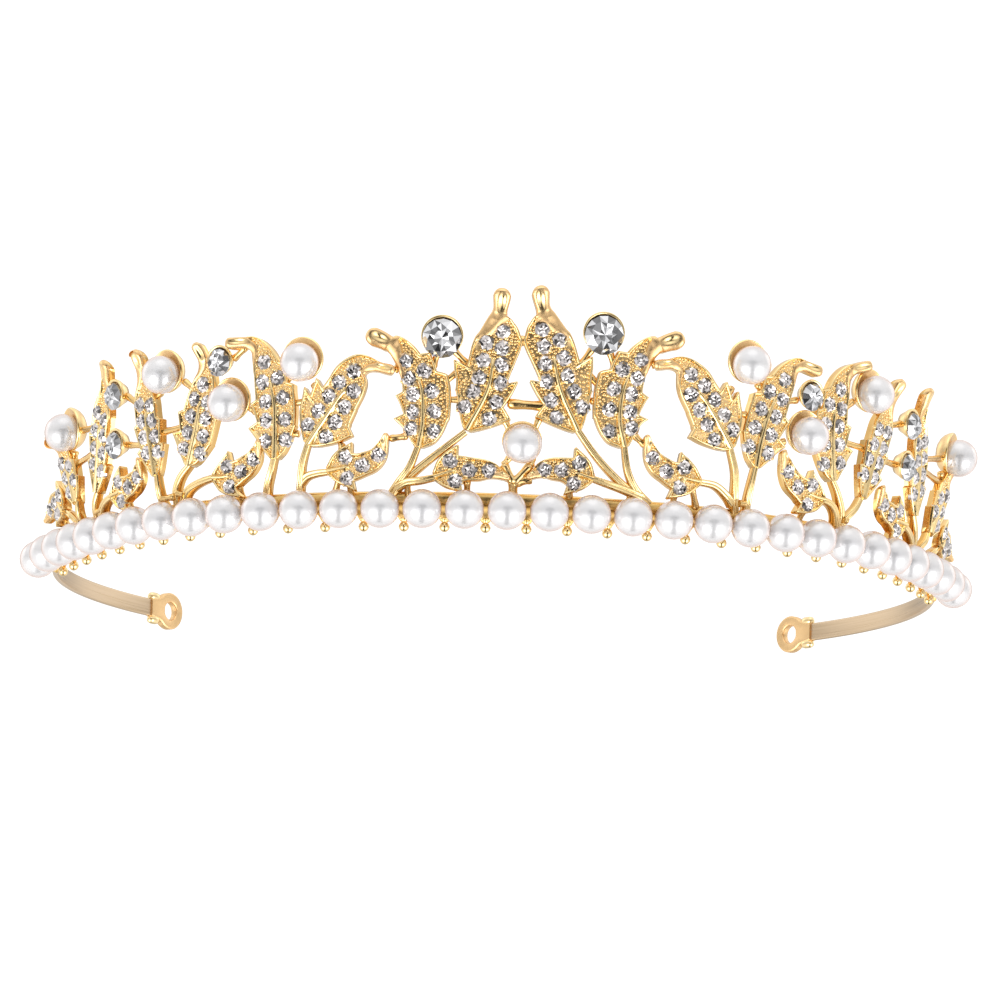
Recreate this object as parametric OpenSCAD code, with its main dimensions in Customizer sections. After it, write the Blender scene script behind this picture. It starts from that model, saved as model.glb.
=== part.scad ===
// Bridal tiara. A springy steel headband carries a cast rail with a row of pearls,
// and a cast crown of stone-set leaves, pearls and crystals rises from that rail.
// Millimetres. Z is up, the front of the crown faces -Y, and the piece stands on z = 0.

/* [Headband] */
// Height of the steel strip
band_h = 3.0; // [2.6:0.1:3.2]
// Thickness of the steel strip
band_t = 0.8; // [0.6:0.1:0.8]
// Reach of the strip on each side, measured along the band from the front
band_reach = 171; // [169.5:0.5:171]

/* [Pearls] */
// Diameter of every pearl
pearl_d = 6.0; // [5.6:0.1:6.0]
// Spacing of the pearl row along the band
pearl_pitch = 6.5; // [6.4:0.1:6.6]

/* [Crown] */
// Outward lean of the crown in degrees
lean = 7.5; // [6:0.5:12]
// Diameter of the small set stones
stone_d = 2.3; // [2.0:0.1:2.4]
// Diameter of the large crystal beside the centre leaves
crystal_d = 6.1; // [5.6:0.1:6.2]
// Diameter of the other crystals
side_crystal_d = 4.3; // [4.0:0.1:4.5]

/* [Fineness] */
// Facets used for round parts of the cast crown
crown_fn = 16; // [14:2:20]

/* [Hidden] */

gold = "gold";
ring_x = 0.44;        // sideways place of the ring's middle
ring_y = 60.45;       // the front pearl line lies this far in front of the origin
pearl_z = 3;          // height of the pearl row's centre line
row_shift = -1.9;     // the middle pearl sits this far from the middle of the band
rail_n = -3.45;       // rail centre, measured outward from the pearl line
band_n = -4.3;        // strip centre, measured outward from the pearl line
crown_n = -2;         // crown surface at the pearl line's height
cup_up = 0.6;         // the cups stand this much above the pearl they hold

// ---------------------------------------------------------------- ring path
// Half of the ring as tangent arcs, from the front: [arc length, radius]
plan = [[25, 95], [50, 62.5], [35, 106], [35, 65], [45, 74]];
// Each knot: [start length, x, y, heading, radius, end length]
function knots(i, s, x, y, a) = i == len(plan) ? [] :
  let (l = plan[i][0], r = plan[i][1], e = a + l / r * 180 / PI)
  concat([[s, x, y, a, r, s + l]],
    knots(i + 1, s + l, x + r * (sin(e) - sin(a)), y + r * (cos(a) - cos(e)), e));
K = knots(0, 0, 0, 0, 0);
function leg(q, i = 0) = i < len(K) - 1 && q >= K[i + 1][0] ? leg(q, i + 1) : K[i];
// [x, y, heading] at length s along the band; negative s is the left half
function plan_at(s) = let (q = abs(s), k = leg(q), a = k[3] + (q - k[0]) / k[4] * 180 / PI,
  g = s < 0 ? -1 : 1)
  [g * (k[1] + k[4] * (sin(a) - sin(k[3]))), k[2] + k[4] * (cos(k[3]) - cos(a)), g * a];
// Point at length s, n outward from the pearl line, height z
function ring(s, n, z) = let (p = plan_at(s))
  [ring_x + p[0] + n * sin(p[2]), p[1] - ring_y - n * cos(p[2]), z];
// Point of the leaning crown: h above the pearl line, w in front of the crown surface
function panel(s, h, w = 0) = ring(s, crown_n + h * tan(lean) + w, pearl_z + h);

// A strip that follows the ring from length s0 to s1
module strip(s0, s1, n, t, z, h) {
  m = ceil((s1 - s0) / 2.5);
  function edge(w, i) = let (p = ring(s0 + (s1 - s0) * i / m, w, 0)) [p[0], p[1]];
  translate([0, 0, z]) linear_extrude(h)
    polygon(concat([for (i = [0:m]) edge(n + t / 2, i)], [for (i = [m:-1:0]) edge(n - t / 2, i)]));
}
// Puts children at length s, facing outward, local Y up
module facing(s, n, z, tilt = 0) {
  translate(ring(s, n, z)) rotate([0, 0, plan_at(s)[2]]) rotate([90 + tilt, 0, 0]) children();
}
module on_crown(s, h, w) {
  facing(s, crown_n + h * tan(lean) + w, pearl_z + h, lean) children();
}

// ---------------------------------------------------------------- curves
// Smooth curve through the points P, t from 0 to 1
function curve(P, t) = let (n = len(P) - 1, x = min(max(t, 0), 1) * n,
  i = min(floor(x), n - 1), f = x - i,
  a = i > 0 ? P[i - 1] : 2 * P[0] - P[1], b = P[i], c = P[i + 1],
  d = i + 2 <= n ? P[i + 2] : 2 * P[n] - P[n - 1])
  (2 * b + (c - a) * f + (2 * a - 5 * b + 4 * c - d) * f * f
    + (3 * b - a - 3 * c + d) * f * f * f) / 2;
// Table from arc fraction to curve parameter
function even(P, m = 24) = let (q = [for (i = [0:m]) curve(P, i / m)],
  c = [for (i = 0, l = 0; i <= m; l = i < m ? l + norm(q[i + 1] - q[i]) : l, i = i + 1) l])
  [for (i = [0:m]) [c[i] / c[m], i / m]];
function unit(v) = v / norm(v);
// Point on the leaf: f along the spine, v across, [s, h]
function on_leaf(P, E, f, v) = let (u = lookup(f, E), p = curve(P, u),
  d = curve(P, min(u + 0.01, 1)) - curve(P, max(u - 0.01, 0)), t = unit([d[0], d[1]]))
  [p[0] + v * t[1], p[1] - v * t[0], len(p) > 2 ? p[2] : 0];

// Closed skin around a stack of equal loops of panel points [s, h, w]
module skin(side, L) {
  m = len(L); n = len(L[0]);
  pts = [for (r = L) for (q = r) panel(side * q[0], q[1], q[2])];
  tri = concat(
    [for (i = [0:m - 2]) for (j = [0:n - 1]) let (a = i * n + j, b = i * n + (j + 1) % n)
      each [[a, b, b + n], [a, b + n, a + n]]],
    [for (j = [1:n - 2]) [0, j + 1, j]],
    [for (j = [1:n - 2]) [(m - 1) * n, (m - 1) * n + j, (m - 1) * n + j + 1]]);
  polyhedron(pts, side > 0 ? [for (t = tri) [t[0], t[2], t[1]]] : tri);
}

// ---------------------------------------------------------------- leaves
// Outlines: [fraction along the spine, width toward the middle side, width on the other side]
TALL = [[0, 0.7, 0.7], [0.06, 2.2, 2], [0.2, 5.1, 4.4], [0.21, 3.2, 4.5], [0.38, 4.1, 5.5],
  [0.39, 2.5, 5.6], [0.47, 3.1, 5.8], [0.48, 3.2, 3.8], [0.64, 3.9, 3.2],
  [0.7, 3.3, 2.4], [0.76, 2.6, 1.5], [0.81, 1.8, 1], [0.83, 1.1, 1], [0.87, 1.1, 1.1],
  [0.93, 1.35, 1.3], [0.975, 1, 1], [1, 0.3, 0.3]];
FULL = [[0, 0.7, 0.7], [0.06, 2.4, 1.9], [0.2, 3.9, 4.5], [0.22, 4.1, 3], [0.4, 4.4, 4.1],
  [0.41, 4.4, 2.9], [0.46, 4.4, 2.8], [0.47, 3, 2.8], [0.6, 3.5, 2.2], [0.61, 2.2, 2.2],
  [0.7, 2.2, 1.7], [0.78, 2, 1.2], [0.82, 1.7, 1.1], [0.84, 1.1, 1.1], [0.93, 1.3, 1.3],
  [0.975, 1, 1], [1, 0.3, 0.3]];
WIDE = [[0, 0.7, 0.7], [0.06, 1.9, 2], [0.21, 3.4, 4.6], [0.22, 3.4, 3.1], [0.4, 3.6, 4.1],
  [0.41, 3.6, 3], [0.46, 3.8, 2.9], [0.47, 2.7, 2.9], [0.6, 3.2, 2.4], [0.61, 2.2, 2.4],
  [0.7, 1.9, 2], [0.78, 1.3, 1.4], [0.86, 0.9, 0.9], [0.93, 0.9, 0.9], [0.975, 0.65, 0.65],
  [1, 0.3, 0.3]];
BROAD = [[0, 0.7, 0.7], [0.06, 2.2, 2.2], [0.16, 4, 3.9], [0.26, 5.2, 4.8], [0.27, 3.9, 4.9],
  [0.32, 3.8, 5.4], [0.33, 3.7, 3.9], [0.43, 3.3, 4.6], [0.44, 3.2, 3], [0.6, 2.7, 2.9],
  [0.7, 1.9, 2.1], [0.78, 1.1, 1.3], [0.86, 0.8, 0.8], [0.93, 0.8, 0.8], [0.975, 0.55, 0.55],
  [1, 0.3, 0.3]];
SLIM = [[0, 0.7, 0.7], [0.06, 1.5, 1.5], [0.22, 3, 3.4], [0.23, 2.4, 2.5], [0.42, 3.2, 3.2],
  [0.43, 2.4, 2.5], [0.6, 2.4, 2.4], [0.7, 1.7, 1.8], [0.78, 1.2, 1.2], [0.86, 1, 1],
  [0.93, 1.2, 1.2], [0.975, 0.9, 0.9], [1, 0.3, 0.3]];
SMALL = [[0, 0.6, 0.6], [0.12, 2.2, 2.3], [0.33, 3.2, 3.4], [0.345, 2, 2.1],
  [0.45, 1.7, 1.9], [0.6, 1.6, 1.7], [0.74, 1.2, 1.3], [0.86, 0.8, 0.8], [0.95, 0.5, 0.5],
  [1, 0.3, 0.3]];
// Stone rows: [count, first fraction, last fraction, first offset, last offset]
TALL_ROWS = [[6, 0.14, 0.72, -2.1, -1], [5, 0.13, 0.63, 2.1, 1.3]];
WIDE_ROWS = [[4, 0.13, 0.53, -1.8, -1.3], [4, 0.12, 0.53, 1.7, 1.3], [1, 0.66, 0.66, 0.2, 0.2]];
SLIM_ROWS = [[4, 0.17, 0.56, -1.3, -1.2], [4, 0.2, 0.58, 1.4, 1.2]];
SHORT_ROWS = [[2, 0.24, 0.44, -1.3, -1.2], [3, 0.2, 0.6, 1.3, 1.2]];
SMALL_ROWS = [[1, 0.25, 0.25, -1.6, -1.6], [1, 0.25, 0.25, 1.6, 1.6], [1, 0.47, 0.47, 0, 0],
  [1, 0.72, 0.72, 0, 0]];

// Leaves of each spray: [outline, rows, blade spine, stalk]. Spine points are [s, h] with s
// outward from the middle of the band; stalk points add w, the depth from the crown surface.
right_leaves = [
  [[TALL, TALL_ROWS, [[8.6, 12.8], [5.6, 19], [4.2, 25], [2.6, 29.8], [1.8, 34.4]],
      [[21, 2.6, -1.5], [16.5, 5, -0.6], [12, 8.8, 0], [8.3, 13.4, 0]]],
   [FULL, WIDE_ROWS, [[16, 10.8], [15, 15], [15.6, 20.5], [18, 24.6], [21, 26.4], [24.2, 27.2]],
      [[21, 2.6, -1.5], [18.4, 4.6, -0.6], [16.8, 7.2, 0], [16, 11, 0]]],
   [SMALL, SMALL_ROWS, [[11.4, 5.6], [8.6, 6.4], [6.2, 6.8], [3.6, 6.7], [1, 5.2]],
      [[19.4, 3.6, -0.8], [16.5, 4.4, -0.3], [14, 5, 0], [11, 5.8, 0.1]]]],
  [[BROAD, WIDE_ROWS, [[33.4, 12], [30.2, 16.5], [27.4, 20], [24.3, 23.8], [19.6, 23.4]],
      [[36, 2.6, -1.5], [35.2, 5, -0.6], [34.6, 8.5, 0], [33.4, 12, 0]]],
   [WIDE, WIDE_ROWS, [[38, 9.6], [38.5, 14], [39.9, 19.5], [43.1, 25.8], [47.8, 25.4]],
      [[38, 2.6, -1.5], [37.6, 4.5, -0.6], [37.6, 7, 0], [38.1, 10.3, 0.1]]],
   [SMALL, SMALL_ROWS, [[28.6, 6.4], [25.8, 6.8], [23.3, 7.4], [20.8, 9.2], [19.2, 12.8]],
      [[35, 3.8, -0.8], [33.4, 5, -0.3], [31.2, 6.2, 0], [28.4, 6.5, 0]]]],
  [[WIDE, WIDE_ROWS, [[53.6, 9.5], [52.6, 14], [52.1, 19.5], [53.6, 26], [58, 28.2]],
      [[58, 2.6, -1.5], [57.4, 5, -0.6], [55.4, 7.6, 0], [53.6, 9.8, 0]]],
   [SLIM, SLIM_ROWS, [[61.2, 8], [62.4, 13], [63.9, 18], [65, 22.8], [66.2, 27.4]],
      [[58.4, 2.6, -1.5], [58.6, 4.4, -0.6], [60, 6.2, 0], [61.3, 8.4, 0]]],
   [SMALL, SMALL_ROWS, [[52, 6.4], [49.8, 6.6], [47.4, 7.2], [44.8, 8.8], [42.4, 12.8]],
      [[57.2, 3, -1.2], [55.8, 4.8, -0.4], [54, 6, 0], [51.5, 6.5, 0.1]]]],
  [[SLIM, SLIM_ROWS, [[78.8, 8], [78, 13], [77.4, 17.6], [76.2, 22.6], [75.2, 27.8]],
      [[84, 2.6, -1.5], [82.6, 4.6, -0.6], [80.4, 6.4, 0], [78.8, 8.4, 0]]],
   [SLIM, SHORT_ROWS, [[87, 6.5], [89, 9.8], [91.2, 13], [93, 16.5], [95, 19.5]],
      [[85.4, 2.6, -1.5], [85.6, 4, -0.6], [86.2, 5.2, 0], [87.1, 6.8, 0]]],
   [SMALL, SMALL_ROWS, [[75.4, 6], [72.6, 6.2], [70.2, 6.6], [67.6, 7.6], [65.4, 10.6]],
      [[82, 3.6, -0.8], [80, 4.6, -0.3], [77.6, 5.4, 0], [74.9, 6.1, 0.1]]],
   [SMALL, SMALL_ROWS, [[94, 5.4], [96.4, 6.8], [98.8, 7], [101, 6.2], [103, 4.8]],
      [[90, 2.6, -1.5], [90.8, 3.6, -0.6], [92.2, 4.6, 0], [94.2, 5.5, 0]]]]];
left_leaves = [
  [[TALL, TALL_ROWS, [[8.4, 12.3], [5.4, 18.5], [4.6, 24.6], [3.6, 29.5], [3.6, 33.8]],
      [[20.4, 2.6, -1.5], [16.2, 6.2, -0.6], [12, 9.4, 0], [8.6, 12.1, 0]]],
   [FULL, WIDE_ROWS, [[15.8, 9.6], [15.2, 13.5], [15.6, 19], [17.9, 23], [20.9, 25.1], [23.9, 26.1]],
      [[20.4, 2.6, -1.5], [18.8, 4.6, -0.6], [17.2, 6.6, 0], [15.9, 9.8, 0]]],
   [SMALL, SMALL_ROWS, [[13.4, 5.1], [9.8, 6.2], [7, 6.3], [4.4, 6.2], [1.6, 5]],
      [[19.4, 3.6, -0.8], [17.6, 4.4, -0.3], [15.4, 4.6, 0], [12.2, 5.3, 0]]]],
  [[BROAD, WIDE_ROWS, [[33.4, 10.2], [30.2, 14.5], [27.4, 18.3], [24.7, 22], [19.4, 21]],
      [[35.6, 2.6, -1.5], [35, 4.6, -0.6], [34.4, 7.4, 0], [33.3, 10.6, 0.1]]],
   [WIDE, WIDE_ROWS, [[39, 8.2], [38.8, 13], [39, 18], [41.3, 25.4], [46.4, 26.2]],
      [[41.6, 2.6, -1.5], [40.8, 4.4, -0.6], [39.8, 6.4, 0], [38.8, 9.5, 0.14]]],
   [SMALL, SMALL_ROWS, [[30.2, 6], [27.4, 6.5], [24.8, 6.8], [22.2, 8.2], [20.6, 11.6]],
      [[35.2, 4.4, -0.8], [33.8, 5.4, -0.3], [32, 5.8, 0], [30, 6, 0]]]],
  [[WIDE, WIDE_ROWS, [[55.3, 8.3], [53.6, 13], [52.3, 17.5], [50.9, 22.6], [51.9, 26.8]],
      [[60, 2.6, -1.5], [59.2, 4.8, -0.6], [57.4, 6.8, 0], [55.3, 8.5, 0]]],
   [SLIM, SLIM_ROWS, [[62.7, 7.5], [63.4, 12], [64.1, 17], [64.3, 21.8], [64.5, 27.2]],
      [[62.8, 2.6, -1.5], [62.8, 4, -0.6], [62.6, 5.6, 0], [62.7, 8.1, 0.1]]],
   [SMALL, SMALL_ROWS, [[50.4, 6], [47.8, 6], [45.4, 6.6], [42.8, 8.4], [41.3, 11.2]],
      [[58.4, 3, -1.2], [56.4, 4.6, -0.4], [53.4, 5.6, 0], [49.9, 6.2, 0.18]]]],
  [[SLIM, SLIM_ROWS, [[80.2, 7], [78.6, 12], [77.2, 17], [74.8, 21.8], [72.3, 26.6]],
      [[83.2, 2.6, -1.5], [82.8, 4, -0.6], [81.6, 5.6, 0], [80.2, 7.4, 0]]],
   [SLIM, SHORT_ROWS, [[88.2, 6.5], [89.4, 9.5], [91, 12.5], [92.8, 15.5], [96, 17.8]],
      [[88.6, 2.6, -1.5], [88.8, 3.8, -0.6], [88.4, 5.2, 0], [88.2, 6.8, 0]]],
   [SMALL, SMALL_ROWS, [[75.2, 5.7], [72.2, 6.2], [69.6, 6.7], [67.4, 7.9], [66, 10.6]],
      [[81.4, 3.4, -0.8], [79.4, 4.8, -0.3], [77.2, 5.5, 0], [74.5, 5.9, 0.12]]],
   [SMALL, SMALL_ROWS, [[94, 6], [96.6, 7.6], [99, 8], [101.2, 7.2], [103.4, 5.6]],
      [[90.4, 2.6, -1.5], [90.8, 4, -0.6], [92, 5.2, 0], [94.6, 6.3, 0.1]]]]];

// Large settings of each spray: [kind, s, h]. Kinds: P pearl, B large crystal, C crystal
right_sets = [[["B", 11.8, 27.4]], [["P", 35, 24.8]],
  [["P", 46.6, 15.4], ["P", 59.5, 23.8], ["C", 46.8, 21.5]],
  [["P", 92.6, 19.7], ["C", 72, 21.1], ["C", 72.2, 14.5]]];
left_sets = [[["B", 12.4, 26]], [["P", 34, 22.5]],
  [["P", 46.4, 17], ["P", 58.9, 22.5], ["C", 48, 23.4]],
  [["P", 88, 17.5], ["C", 71.4, 20.8], ["C", 72.2, 13.2]]];

// Short cast ties between neighbours: [s, h, s, h]
right_ties = [
  [[8.4, 22.6, 10.5, 25.8], [13, 25.4, 14, 22.6], [11.4, 17.6, 12.8, 17.6], [12.2, 18.8, 11, 21],
   [7.8, 4.6, 8, 2.8], [1.8, 5.4, 0.4, 4.4], [17.6, 3.6, 17.6, 2.6], [19.6, 24.4, 20.4, 23.4],
   [4, 16.4, -2.2, 16.6], [1.9, 26.3, -0.8, 26.2]],
  [[34.4, 17.6, 36, 17.6], [33, 21.6, 32.4, 20], [37.2, 22.6, 38.4, 21], [35.6, 13, 36.6, 13],
   [24.8, 3.8, 24.8, 2.6], [19.4, 11.4, 18.2, 12.4], [36, 4, 37.6, 4], [27.4, 5.4, 29, 2.6]],
  [[48.5, 22, 50.4, 21.4], [49.4, 16, 50.4, 16.4], [56.8, 22.6, 56, 21.4], [54.8, 16, 61.8, 15.8],
   [48.6, 3.6, 48.6, 2.6], [46.8, 18.2, 46.8, 19.4], [45, 21, 42.4, 20.4],
   [43.4, 14.4, 42.4, 14], [57.8, 4.2, 58.8, 4.2], [62.4, 22.6, 63.2, 21.6]],
  [[73.4, 21.3, 75.4, 20.6], [73.7, 14.7, 75.8, 14.4], [70.5, 21.3, 67.4, 20.4],
   [70.6, 14.8, 67, 14.8], [71.8, 3.6, 71.8, 2.6], [90.6, 17.2, 91.4, 15.6],
   [79.4, 16, 89.4, 15.6], [89.2, 19.4, 85, 18], [96, 5.6, 95.4, 2.6],
   [83.4, 3.4, 85.6, 3.4], [86, 3.6, 90.6, 3.4]]];
left_ties = [
  [[8.6, 22.4, 11, 24.8], [13.2, 24.2, 13.8, 21.8], [11.6, 17, 12.6, 17], [11.8, 19.6, 11, 20.8],
   [8.2, 4, 8.2, 2.6], [2.2, 5.4, 0.8, 4.4], [17.6, 3.8, 17.6, 2.6], [19.2, 22, 19.8, 21.2]],
  [[33.6, 17, 36, 16.6], [32.6, 19.6, 32, 18.4], [36.6, 20.6, 37.6, 19.4], [35, 12, 36.4, 12],
   [26.8, 3.8, 26.8, 2.6], [20.4, 11, 18.8, 11.2], [28.2, 8.6, 28, 10.4], [28.2, 5.4, 29.6, 2.6]],
  [[50.2, 22.6, 50.8, 21], [49.2, 17.4, 50, 16.6], [56, 21.6, 55.2, 20.2], [58.2, 14.6, 60.6, 14.2],
   [46, 3.8, 46, 2.6], [47, 19.6, 47.4, 21], [46.2, 24, 44.4, 25],
   [43.4, 16.4, 42.4, 15.6], [59.4, 4, 62.8, 4], [61, 20.4, 62, 19.6], [57.2, 4.1, 58.8, 4.5]],
  [[73, 20.8, 74.6, 19.8], [73.7, 13.4, 75.8, 12.8], [69.9, 21, 66.8, 19],
   [70.6, 13.3, 66.4, 12.8], [71.4, 3.8, 71.4, 2.6], [88.6, 14.8, 89.4, 13.6],
   [80.4, 13.6, 88.8, 12.8], [84.8, 17.6, 79, 17.4], [98, 6.6, 97, 2.6],
   [83.4, 3.2, 88.6, 3.2], [88.8, 3.6, 90.8, 3.6], [79.6, 4.6, 82.4, 4.2]]];

// Section of a blade: raised rims around a sunk bed, filling out to a round curled tip
function blade_loop(P, E, W, f) = let (a = lookup(f, [for (q = W) [q[0], q[1]]]),
  b = lookup(f, [for (q = W) [q[0], q[2]]]), m = min(max((f - 0.72) / 0.14, 0), 1),
  e = f > 0.96 ? sqrt(max(1 - pow((f - 0.96) / 0.04, 2) * 0.8, 0)) : 1,
  c = 1.4 * pow(max(f - 0.7, 0) / 0.3, 2), r = 0.42, x = max(a - r, a * 0.62), y = max(b - r, b * 0.62))
  [for (q = [[-a, -0.35], [-a, 0.5 - 0.15 * m], [-x, 0.5 + 0.2 * m], [-x * 0.86, 0.9 * m],
      [y * 0.86, 0.9 * m], [y, 0.5 + 0.2 * m], [b, 0.5 - 0.15 * m], [b, -0.35],
      [0, -0.9]])
    let (p = on_leaf(P, E, f, q[0])) [p[0], p[1], c + q[1] * e]];
module blade(side, W, P) {
  E = even(P);
  F = [for (q = W) q[0]];
  skin(side, [for (f = F) blade_loop(P, E, W, f)]);
}
// Stalk: a half-round bar from the rail to the blade
module stalk(side, S) {
  E = even(S);
  skin(side, [for (i = [0:5]) let (f = i / 5, g = 1 - 0.22 * f)
    [for (q = [[-0.75, -0.4], [-0.5, 0.5], [0, 0.8], [0.5, 0.5], [0.75, -0.4], [0.55, -1], [-0.55, -1]])
      let (p = on_leaf(S, E, f, q[0] * g)) [p[0], p[1], p[2] + q[1] * g]]]);
}
// Midrib: a ridge that runs up the bed and fades
module midrib(side, P) {
  E = even(P);
  skin(side, [for (i = [0:4]) let (f = 0.01 + i * 0.12, g = 1 - i * 0.16)
    [for (q = [[-0.6 * g, -0.3], [-0.3 * g, 0.75 * g], [0.3 * g, 0.75 * g], [0.6 * g, -0.3]])
      let (p = on_leaf(P, E, f, q[0])) [p[0], p[1], q[1]]]]);
}
module bar(side, a, b, d) {
  hull() {
    translate(panel(side * a[0], a[1], a[2])) sphere(d = d * 1.15, $fn = 4);
    translate(panel(side * b[0], b[1], b[2])) sphere(d = d * 1.15, $fn = 4);
  }
}
module pearl_cup(r = 3.4) {
  rotate_extrude($fn = crown_fn + 4) polygon([[0, -3.7], [r * 0.5, -3.45], [r - 0.5, -2.55], [r, -1.6],
    [r, -1.25], [r - 0.3, -1.25], [r - 0.5, -1.75], [r - 1.05, -2.6], [r * 0.4, -3.1], [0, -3.2]]);
}
module crystal_cup(d) {
  r = d / 2;
  rotate_extrude($fn = crown_fn + 4) polygon([[r * 0.4, -r], [r * 0.7, -r], [r + 0.1, -0.7],
    [r + 0.2, -0.12], [r - 0.15, -0.12], [r - 0.15, -0.4]]);
}
module setting(side, q) {
  on_crown(side * q[1], q[2], q[0] == "P" ? 1.7 : 1)
    if (q[0] == "P") translate([0, cup_up, 0]) pearl_cup();
    else translate([0, cup_up * 0.7, 0]) crystal_cup(q[0] == "B" ? crystal_d : side_crystal_d);
}
module spray(side, leaves, sets, ties) {
  for (q = leaves) {
    blade(side, q[0], q[2]);
    stalk(side, q[3]);
    midrib(side, q[2]);
  }
  for (q = sets) setting(side, q);
  for (q = ties) bar(side, [q[0], q[1], -0.2], [q[2], q[3], q[3] < 3 ? -1.5 : -0.2], 1.3);
}
// Flat-backed brilliant, resting on the bed of a leaf
module stone() {
  r = stone_d / 2;
  rotate_extrude($fn = 24) polygon([[0, 0], [r * 0.75, 0], [r, 0.3], [r, 0.42], [r * 0.62, 0.78], [0, 0.78]]);
}
module stones(side, leaves) {
  for (q = leaves) {
    E = even(q[2]);
    for (r = q[1]) for (i = [0:r[0] - 1]) {
      g = r[0] > 1 ? i / (r[0] - 1) : 0;
      p = on_leaf(q[2], E, r[1] + (r[2] - r[1]) * g, r[3] + (r[4] - r[3]) * g);
      on_crown(side * p[0], p[1], 0.06) stone();
    }
  }
}

// ---------------------------------------------------------------- loose pieces
module pearl() { sphere(d = pearl_d, $fn = 64); }
module top_pearl(side, q) { color("white") on_crown(side * q[1], q[2], 1.7) pearl(); }
module crystal(side, q) {
  r = (q[0] == "B" ? crystal_d : side_crystal_d) / 2;
  color("lightblue") on_crown(side * q[1], q[2], 1)
    rotate_extrude($fn = 48) polygon([[0, -r * 0.8], [r, -0.1], [r, 0.25], [r * 0.58, r * 0.36], [0, r * 0.36]]);
}
// Half-drilled pearl, glued on a post of the rail
module row_pearl(i) {
  facing(row_shift + i * pearl_pitch, 0, pearl_z) difference() {
    pearl();
    translate([0, 0, -4]) cylinder(r = 0.6, h = 2.6, $fn = 24);
  }
}
module row_pearls(i0, i1) { color("white") for (i = [i0:i1]) row_pearl(i); }

module headband() {
  color("tan") strip(-band_reach, band_reach, band_n, band_t, pearl_z + 0.4, band_h);
}
module gallery_rail() {
  color(gold) union() {
    strip(row_shift - 16.5 * pearl_pitch, row_shift + 16.5 * pearl_pitch,
      rail_n, 0.8, pearl_z - 1.6, 5.2);
    for (i = [-16:16]) facing(row_shift + i * pearl_pitch, rail_n, pearl_z)
      cylinder(r = 0.5, h = 1.9, $fn = 24);
  }
}
module bead_row() {
  color(gold) for (i = [-16:15]) translate(ring(row_shift + (i + 0.5) * pearl_pitch, rail_n, 0.8)) union() {
    sphere(r = 0.8, $fn = 32);
    cylinder(r = 0.4, h = 0.6, $fn = 24);
  }
}
module end_loop() {
  facing(171, band_n, pearl_z + 1.9) translate([3.5, 0, 0]) difference() {
    union() {
      translate([0, 0, -0.7]) linear_extrude(1.4) union() {
        circle(r = 3.1, $fn = 64);
        polygon([[-4.8, -1.9], [-3.1, -2.15], [-2.3, -1.95], [-1.2, -2.75], [0, -2.9],
          [0, 2.9], [-1.2, 2.75], [-2.3, 1.95], [-3.1, 2.15], [-4.8, 1.9]]);
      }
      for (y = [-1.95, 1.95]) translate([-4.8, y, 0]) rotate([0, 90, 0]) cylinder(r = 0.85, h = 2, $fn = 32);
    }
    translate([0, 0, -3]) cylinder(r = 1.5, h = 6, $fn = 48);
    translate([-6, -1.55, -0.43]) cube([2.7, 3.1, 0.86]);
  }
}
module left_end_loop() { color(gold) translate([2 * ring_x, 0, 0]) mirror([1, 0, 0]) end_loop(); }
module right_end_loop() { color(gold) end_loop(); }

module row_pearls_left_rear() { row_pearls(-16, -9); }
module row_pearls_left_front() { row_pearls(-8, -1); }
module row_pearl_middle() { row_pearls(0, 0); }
module row_pearls_right_front() { row_pearls(1, 8); }
module row_pearls_right_rear() { row_pearls(9, 16); }

// Middle of the crown: forked stem, cross bar, pearl cup and the dot between the tall leaves
centre = ["P", 0.1, 10.2];
module centre_link() {
  color(gold) {
    bar(-1, [1, 2.6, -1.5], [1, 4.6, -0.2], 1.5);
    bar(-1, [1, 4.6, -0.2], [2.6, 7.2, -0.2], 1.2);
    bar(-1, [1, 4.6, -0.2], [-1.6, 7.2, -0.2], 1.2);
    bar(1, [-1.6, 12, -0.5], [-2.6, 14, -0.2], 1.2);
    bar(1, [1.8, 12.2, -0.5], [2.6, 14.4, -0.2], 1.2);
    bar(1, [-1.7, 8.5, -0.5], [-2.6, 7.2, -0.2], 1.2);
    bar(1, [1.9, 8.6, -0.5], [1.6, 7.2, -0.2], 1.2);
    on_crown(centre[1], centre[2], 1.7) pearl_cup(2.95);
  }
}
module centre_pearl() { top_pearl(1, centre); }

module left_spray_1() { color(gold) spray(-1, left_leaves[0], left_sets[0], left_ties[0]); }
module left_spray_2() { color(gold) spray(-1, left_leaves[1], left_sets[1], left_ties[1]); }
module left_spray_3() { color(gold) spray(-1, left_leaves[2], left_sets[2], left_ties[2]); }
module left_spray_4() { color(gold) spray(-1, left_leaves[3], left_sets[3], left_ties[3]); }
module right_spray_1() { color(gold) spray(1, right_leaves[0], right_sets[0], right_ties[0]); }
module right_spray_2() { color(gold) spray(1, right_leaves[1], right_sets[1], right_ties[1]); }
module right_spray_3() { color(gold) spray(1, right_leaves[2], right_sets[2], right_ties[2]); }
module right_spray_4() { color(gold) spray(1, right_leaves[3], right_sets[3], right_ties[3]); }

module left_pearl_1() { top_pearl(-1, left_sets[1][0]); }
module left_pearl_2() { top_pearl(-1, left_sets[2][0]); }
module left_pearl_3() { top_pearl(-1, left_sets[2][1]); }
module left_pearl_4() { top_pearl(-1, left_sets[3][0]); }
module right_pearl_1() { top_pearl(1, right_sets[1][0]); }
module right_pearl_2() { top_pearl(1, right_sets[2][0]); }
module right_pearl_3() { top_pearl(1, right_sets[2][1]); }
module right_pearl_4() { top_pearl(1, right_sets[3][0]); }

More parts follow.
